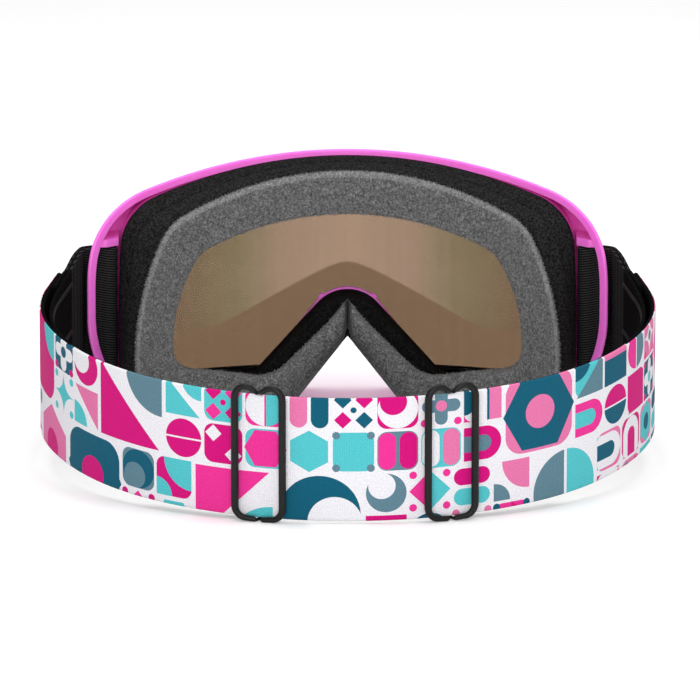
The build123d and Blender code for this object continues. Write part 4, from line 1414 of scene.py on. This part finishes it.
# %% Adjuster webbing, tails and grip beads
WEB_START = 67 * MM
GRIP_START = 96 * MM
GRIP_END = -22.6 * MM
GRIP_HEIGHTS = (15.5 * MM, 0.0, -15.5 * MM)
GRIP_LINE = 1.6 * MM
GRIP_PROUD = 0.5 * MM
PLY_CELLS = 50
PLY_STEP = 1.5 * MM
web_section = strip_section(WEB, STRAP_WIDTH, PLY_CELLS)
NARROW = 0.88  # the plies inside the band are a little narrower than it, so they stay behind its edge
NARROW_START = 24 * MM
NARROW_END = 60 * MM


def bead_section(height):
    """Half-round section of a silicone bead that lies on the webbing."""
    angles = np.linspace(0, math.pi, 9)
    return [(GRIP_PROUD * math.sin(a), height + GRIP_LINE / 2 * math.cos(a)) for a in angles]


silicone = uneven("grip_silicone", grey(0.012), 0.5, colour=(300, 2, 0.009, 0.015),
                  grain=(500, 2, 0.05 * MM, 0.4), Specular_IOR_Level=0.2).material
web_path = path_between(WEB_START, along_at(-FOLD_END, inner_depth), inner_depth, PLY_STEP)
tail_path = path_between(along_at(BAND_END - TAIL_LAP, outer_depth), along_at(-FOLD_END, outer_depth),
                         outer_depth, PLY_STEP)
bead_depth = RUN_DEPTH + WEB
bead_path = path_between(GRIP_START, along_at(GRIP_END, bead_depth), bead_depth, PLY_STEP)


# %% Plies, tails and beads of both sides
def join_pieces(name, pieces):
    """Several meshes as one object."""
    whole = bmesh.new()
    for piece in pieces:
        whole.from_mesh(piece.data)
    mesh = bpy.data.meshes.new(name)
    whole.to_mesh(mesh)
    whole.free()
    for material in pieces[0].data.materials:
        mesh.materials.append(material)
    for piece in pieces:
        bpy.data.objects.remove(piece)
    return add_object(name, mesh)


def narrowing(path):
    """Full width where a ply leaves the fold at the frame, and narrower further back."""
    return [1 - (1 - NARROW) * smooth_share(-y, NARROW_START, NARROW_END) for _, y, _, _ in path]


for side in ("right", "left"):
    turn = mirrored if side == "left" else list
    web = strip(f"adjuster_webbing_{side}", turn(web_path), web_section, ribbed_web,
                widths=narrowing(web_path))
    place(web, "strap", "black_web", f"adjuster_web_{side}")
    tail = strip(f"webbing_tail_{side}", turn(tail_path), web_section, ribbed_web)
    place(tail, "strap", "black_web", f"web_tail_{side}")
    beads = [strip(f"bead_{row}", turn(bead_path), bead_section(height), silicone)
             for row, height in enumerate(GRIP_HEIGHTS)]
    place(join_pieces(f"grip_beads_{side}", beads), "strap", "silicone", f"grip_lines_{side}")

# %% [markdown]
# ## Sliders
#
# Each slider is one moulded rod: two upright loops outside the band, whose inner ends dive over the
# band's edges to a shared bar behind it. A rod is a curve with a round bevel and a radius for each
# point. The two loops are then fused by a voxel remesh, which melts them together at the bar as in
# a mould, and smoothed.

# %% Slider rods
SLIDERS = {"left": -27.4 * MM, "right": 32.2 * MM}
SLIDER_WIDTH = 17.6 * MM
SLIDER_LOOP = 9.4 * MM
SLIDER_BAR = 2.4 * MM
SLIDER_LIFT = 0.1 * MM
BAR_DEPTH = BAND + PLY_GAP + WEB + ROLL_PLAY
SLIDER_CENTRE = 1.8 * MM
SLIDER_TOP = 22.5 * MM  # the rods' reach above and below the strap's plane
SLIDER_BOTTOM = 22.2 * MM
BAND_TOP = STRAP_WIDTH / 2 - SAG
BAND_BOTTOM = STRAP_WIDTH / 2 + SAG
END_R = 0.95 * MM  # the rod is thinner at its round ends and thinnest where it crosses the edge
TOP_NECK_R = 0.62 * MM
LOW_NECK_R = 0.5 * MM
END_RISE = 3.9 * MM  # height of the loops' round ends
BEHIND_R = 0.9 * MM  # the rod's radius behind the band
TOP_TURN = math.radians(118)  # how far the round ends turn before the rod dives over the edge
LOW_TURN = math.radians(92)
VOXEL = 0.2 * MM

black_plastic = uneven("black_plastic", grey(0.006), 0.42, colour=(150, 3, 0.005, 0.009),
                       gloss=(400, 3, 0.36, 0.48), grain=(1200, 3, 0.03 * MM, 0.3),
                       Specular_IOR_Level=0.2).material
for side in ("left", "right"):
    repaint(frame["nodes"][f"anchor_bar_{side}"], black_plastic)


# %% Centre line of a loop
def half_loop(apex, crossing, neck, turn):
    """Upper half of a loop's centre line, from the middle of its outer rod to the middle of the bar.

    Points are (across, height, outwards, radius): up the rod, over a round end, and behind the band.
    """
    rod = SLIDER_BAR / 2
    out = SLIDER_LIFT + rod
    middle = (SLIDER_WIDTH - SLIDER_LOOP) / 2
    bend = SLIDER_LOOP / 2 - rod
    top = apex - END_R
    straight = top - END_RISE
    behind = -BAR_DEPTH - SLIDER_CENTRE / 2
    line = [(middle + bend, z, out, rod) for z in np.linspace(0, straight, 9)[:-1]]
    for angle in np.linspace(0, turn, 15):
        share = angle / turn
        line.append((middle + bend * math.cos(angle), straight + END_RISE * math.sin(angle), out,
                     rod + (END_R - rod) * share))
    line += [
        (1.35 * MM, (line[-1][1] + crossing) / 2, out - 0.1 * MM, 0.86 * MM),
        (0.75 * MM, crossing, out - 0.7 * MM, neck),
        (0.5 * MM, crossing, -0.4 * MM, neck),
        (0.35 * MM, crossing - 0.2 * MM, -1.8 * MM, neck),
        (0.2 * MM, crossing - 1.1 * MM, behind + 0.9 * MM, 0.75 * MM),
        (0.05 * MM, crossing - 2.6 * MM, behind, BEHIND_R),
    ]
    return line + [(0.0, z, behind, BEHIND_R) for z in np.linspace(crossing - 4.5 * MM, 0, 8)]


def loop_line():
    """The whole centre line of the right-hand loop, closed."""
    upper = half_loop(SLIDER_TOP, BAND_TOP + TOP_NECK_R + 3 * EASE, TOP_NECK_R, TOP_TURN)
    lower = half_loop(SLIDER_BOTTOM, BAND_BOTTOM + LOW_NECK_R, LOW_NECK_R, LOW_TURN)
    return upper + [(x, -z, out, radius) for x, z, out, radius in lower[-2:0:-1]]


# %% Sliders from two loops each
def slider_place(along, across, height, outwards):
    """A place on a slider, from its own directions at its own distance along the band."""
    x, y, out_x, out_y = strap_point(along, 0.0)
    return to_world(x - out_y * across + out_x * outwards, y + out_x * across + out_y * outwards, height)


def rod_mesh(along, side):
    """One loop of a slider as a mesh: on the side 1 or -1 of its middle."""
    curve = bpy.data.curves.new("rod", "CURVE")
    curve.dimensions = "3D"
    curve.bevel_depth = MM
    curve.bevel_resolution = 4
    line = loop_line()
    spline = curve.splines.new("POLY")
    spline.points.add(len(line) - 1)
    spline.use_cyclic_u = True
    for point, (across, height, out, radius) in zip(spline.points, line):
        point.co = (*slider_place(along, side * across, height, out), 1)
        point.radius = radius / MM
    return baked("rod_mesh", add_object("rod", curve))


def make_slider(name, along):
    slider = join_pieces(name, [rod_mesh(along, -1), rod_mesh(along, 1)])
    fuse = slider.modifiers.new("fuse", "REMESH")
    fuse.mode, fuse.voxel_size, fuse.use_smooth_shade = "VOXEL", VOXEL, True
    soften = slider.modifiers.new("soften", "SMOOTH")
    soften.factor, soften.iterations = 0.5, 4
    fused = baked(name, slider)
    repaint(fused, black_plastic)
    return fused


for side, along in SLIDERS.items():
    place(make_slider(f"slider_rod_{side}", along), f"{side}_slider", "black_plastic", f"slider_{side}")

# %% [markdown]
# The webbing's end goes round the slider's bar and is sewn back on itself, and from there it runs on
# to the side, free of the band. It moves with the slider.

# %% Slider hems
HEM_RUN = 42 * MM
HEM_LAP = 12 * MM
HEM_WIDTH = STRAP_WIDTH * NARROW
hem_outer = BAND + PLY_GAP + WEB / 2
hem_inner = BAR_DEPTH + SLIDER_CENTRE + ROLL_PLAY + WEB / 2
hem_lapped = hem_inner - WEB - ROLL_PLAY
half_bar = SLIDER_BAR / 2
hem_section = strip_section(WEB, HEM_WIDTH, PLY_CELLS)


def rear_place(along, depth):
    turn = along / REAR_R
    return ((REAR_R - depth) * math.sin(turn), rear_y - (REAR_R - depth) * math.cos(turn))


def hem_path(along):
    loop_r = (hem_inner - hem_outer) / 2
    flat = rounded([(HEM_LAP, hem_lapped), (half_bar, hem_outer), (-half_bar, hem_outer)], [WEB], MM)
    for angle in np.linspace(0, math.pi, 17)[1:]:
        flat.append((-half_bar - loop_r * math.sin(angle), hem_outer + loop_r * (1 - math.cos(angle))))
    flat += [(ahead, hem_inner) for ahead in np.linspace(-half_bar, HEM_RUN, 44)[1:]]
    return drawn_path([rear_place(along + ahead, depth) for ahead, depth in flat])


for side, along in SLIDERS.items():
    path = hem_path(abs(along))
    hem = strip(f"slider_webbing_{side}", mirrored(path) if along < 0 else path, hem_section, ribbed_web)
    place(hem, f"{side}_slider", "black_web", f"slider_hem_{side}")

# %% [markdown]
# ## Stitches
#
# Rows of black thread hold the band's ends to the webbing and close the hems. A tree walks along
# each row, which is a chain of edges, and lays one small rounded stitch at every step.

# %% Stitch rows
THREAD = 0.18 * MM
STITCH = 2.0 * MM
STITCH_GAP = 0.7 * MM
BAND_ROWS = (2 * MM, 12 * MM)  # from the band's end
HEM_ROWS = (5 * MM, 10 * MM)  # from the slider's middle
ROW_HALF = STRAP_WIDTH / 2 - 2 * MM

thread_finish = uneven("black_thread", grey(0.02), 0.6, colour=(2500, 2, 0.012, 0.035),
                       grain=(3000, 2, 0.05 * MM, 0.6), Specular_IOR_Level=0.3,
                       Sheen_Weight=0.2).material


def make_stitch_tree():
    tree, given = new_tree("stitches", {"Step": "Float", "Length": "Float", "Thread": "Float"})
    line = add_node(tree, "GeometryNodeMeshToCurve", {"Mesh": given["Geometry"]})
    walk = add_node(tree, "GeometryNodeResampleCurve", {
        "Curve": line.outputs["Curve"], "Length": given["Step"],
    }, mode="LENGTH")
    stitch = add_node(tree, "GeometryNodeMeshUVSphere", {
        "Segments": 6, "Rings": 6, "Radius": given["Thread"],
    })
    stretch = Value(tree, given["Length"]) / Value(tree, given["Thread"]) * 0.5
    scale = add_node(tree, "ShaderNodeCombineXYZ", {0: 1.0, 1: 1.0, 2: stretch})
    tangent = add_node(tree, "GeometryNodeInputTangent", {})
    aim = add_node(tree, "FunctionNodeAlignRotationToVector", {
        "Vector": tangent.outputs["Tangent"],
    }, axis="Z")
    lay = add_node(tree, "GeometryNodeInstanceOnPoints", {
        "Points": walk.outputs["Curve"], "Instance": stitch.outputs["Mesh"],
        "Rotation": aim.outputs["Rotation"], "Scale": scale.outputs[0],
    })
    return close_tree(tree, given, lay.outputs["Instances"])


stitch_tree = make_stitch_tree()


# %% Rows on the band and the hems
def stitched(name, rows, body):
    """Stitches along rows of world points."""
    points, edges = [], []
    for row in rows:
        edges += [(len(points) + k, len(points) + k + 1) for k in range(len(row) - 1)]
        points += [tuple(p) for p in row]
    mesh = bpy.data.meshes.new(name + "_rows")
    mesh.from_pydata(points, edges, [])
    piece = grow(name, mesh, stitch_tree, Step=STITCH + STITCH_GAP, Length=STITCH, Thread=THREAD,
                 Material=thread_finish)
    place(piece, body, "black_web")


def upright_row(side, spot):
    """A row across the strap, at a place that is given on its right-hand half."""
    x, y = spot
    x = -x if side == "left" else x
    return [hanging(x, y, z) for z in np.linspace(-ROW_HALF, ROW_HALF, 20)]


for side, along in SLIDERS.items():
    ends = [strap_point(band_reach - back, -EASE)[:2] for back in BAND_ROWS]
    stitched(f"band_stitches_{side}", [upright_row(side, spot) for spot in ends], "strap")
    hems = [rear_place(abs(along) + ahead, hem_inner + WEB / 2 + EASE) for ahead in HEM_ROWS]
    stitched(f"hem_stitches_{side}", [upright_row(side, spot) for spot in hems], f"{side}_slider")

# %% [markdown]
# ## Stage, light and camera
#
# A white floor with a soft shadow and broad, even studio light. The camera stands far back on a
# long lens, a little above the goggles, behind them.

# %% Floor
FLOOR_SIZE = 8
FLOOR_GLOW = 0.22  # seen straight, in a mirror or through a lens; it lights nothing


def make_floor():
    bpy.ops.mesh.primitive_plane_add(size=FLOOR_SIZE)
    floor = bpy.context.object
    floor.name = "floor"
    paper = Surface("white_floor", grey(0.9), 0.9)
    white = paper.shader.outputs[0]
    glow = paper.node("Emission", {"Strength": FLOOR_GLOW}).outputs[0]
    lit = paper.node("AddShader", {0: white, 1: glow}).outputs[0]
    rays = paper.node("LightPath", {}).outputs
    kinds = ("Camera", "Glossy", "Transmission")
    seen, glossy, clear = (Value(paper.tree, rays[f"Is {kind} Ray"]) for kind in kinds)
    mixed_light = paper.node("MixShader", {0: seen.most(glossy).most(clear), 1: white, 2: lit})
    wire(paper.tree, paper.tree.nodes["Material Output"].inputs["Surface"], mixed_light.outputs[0])
    floor.data.materials.append(paper.material)
    return floor


make_floor()

# %% World and lamps
SKY = 0.38  # light that the world gives; seen straight or through a lens it is plain white
world = bpy.data.worlds.new("studio")
bpy.context.scene.world = world
world.use_nodes = True
sky = world.node_tree
rays = sky.nodes.new("ShaderNodeLightPath").outputs
seen = Value(sky, rays["Is Camera Ray"]).most(Value(sky, rays["Is Transmission Ray"]))
wire(sky, sky.nodes["Background"].inputs["Strength"], seen * (1 - SKY) + SKY)
wire(sky, sky.nodes["Background"].inputs["Color"], (1, 1, 1))

LAMP_AIM = Vector((0, 0, 0.04))
LAMPS = {  # place, size and power
    "overhead_softbox": ((0, 0.1, 1.1), 1.0, 10),
    "camera_softbox": ((-0.1, -1.4, 0.45), 1.0, 12.5),
    "right_softbox": ((0.9, -0.5, 0.5), 0.6, 1.5),
}
for name, (spot, size, power) in LAMPS.items():
    data = bpy.data.lights.new(name, "AREA")
    data.size, data.energy = size, power
    lamp = add_object(name, data)
    lamp.location = spot
    lamp.rotation_euler = (LAMP_AIM - Vector(spot)).to_track_quat("-Z", "Y").to_euler()
    print(name, "gives", power, "watts")

# %% Camera
CAMERA_DISTANCE = 3.5
CAMERA_RISE = math.radians(12.5)
CAMERA_HEIGHT = 0.04  # of the place it looks at, before the small corrections below
AIM_DOWN = math.radians(0.0963)
AIM_RIGHT = math.radians(0.0129)
CAMERA_SENSOR = 36  # in millimetres, like the lens
CAMERA_LENS = 570.6
CLIP_END = 20
camera_data = bpy.data.cameras.new("camera")
camera_data.sensor_width = CAMERA_SENSOR
camera_data.lens = CAMERA_LENS
camera_data.clip_end = CLIP_END
camera = add_object("camera", camera_data)
camera.location = (0, -CAMERA_DISTANCE * math.cos(CAMERA_RISE),
                   CAMERA_HEIGHT + CAMERA_DISTANCE * math.sin(CAMERA_RISE))
camera.rotation_euler = (math.pi / 2 - CAMERA_RISE - AIM_DOWN, 0, -AIM_RIGHT)
bpy.context.scene.camera = camera
print("camera at", tuple(round(c, 3) for c in camera.location))
bpy.context.scene.view_settings.view_transform = "Standard"
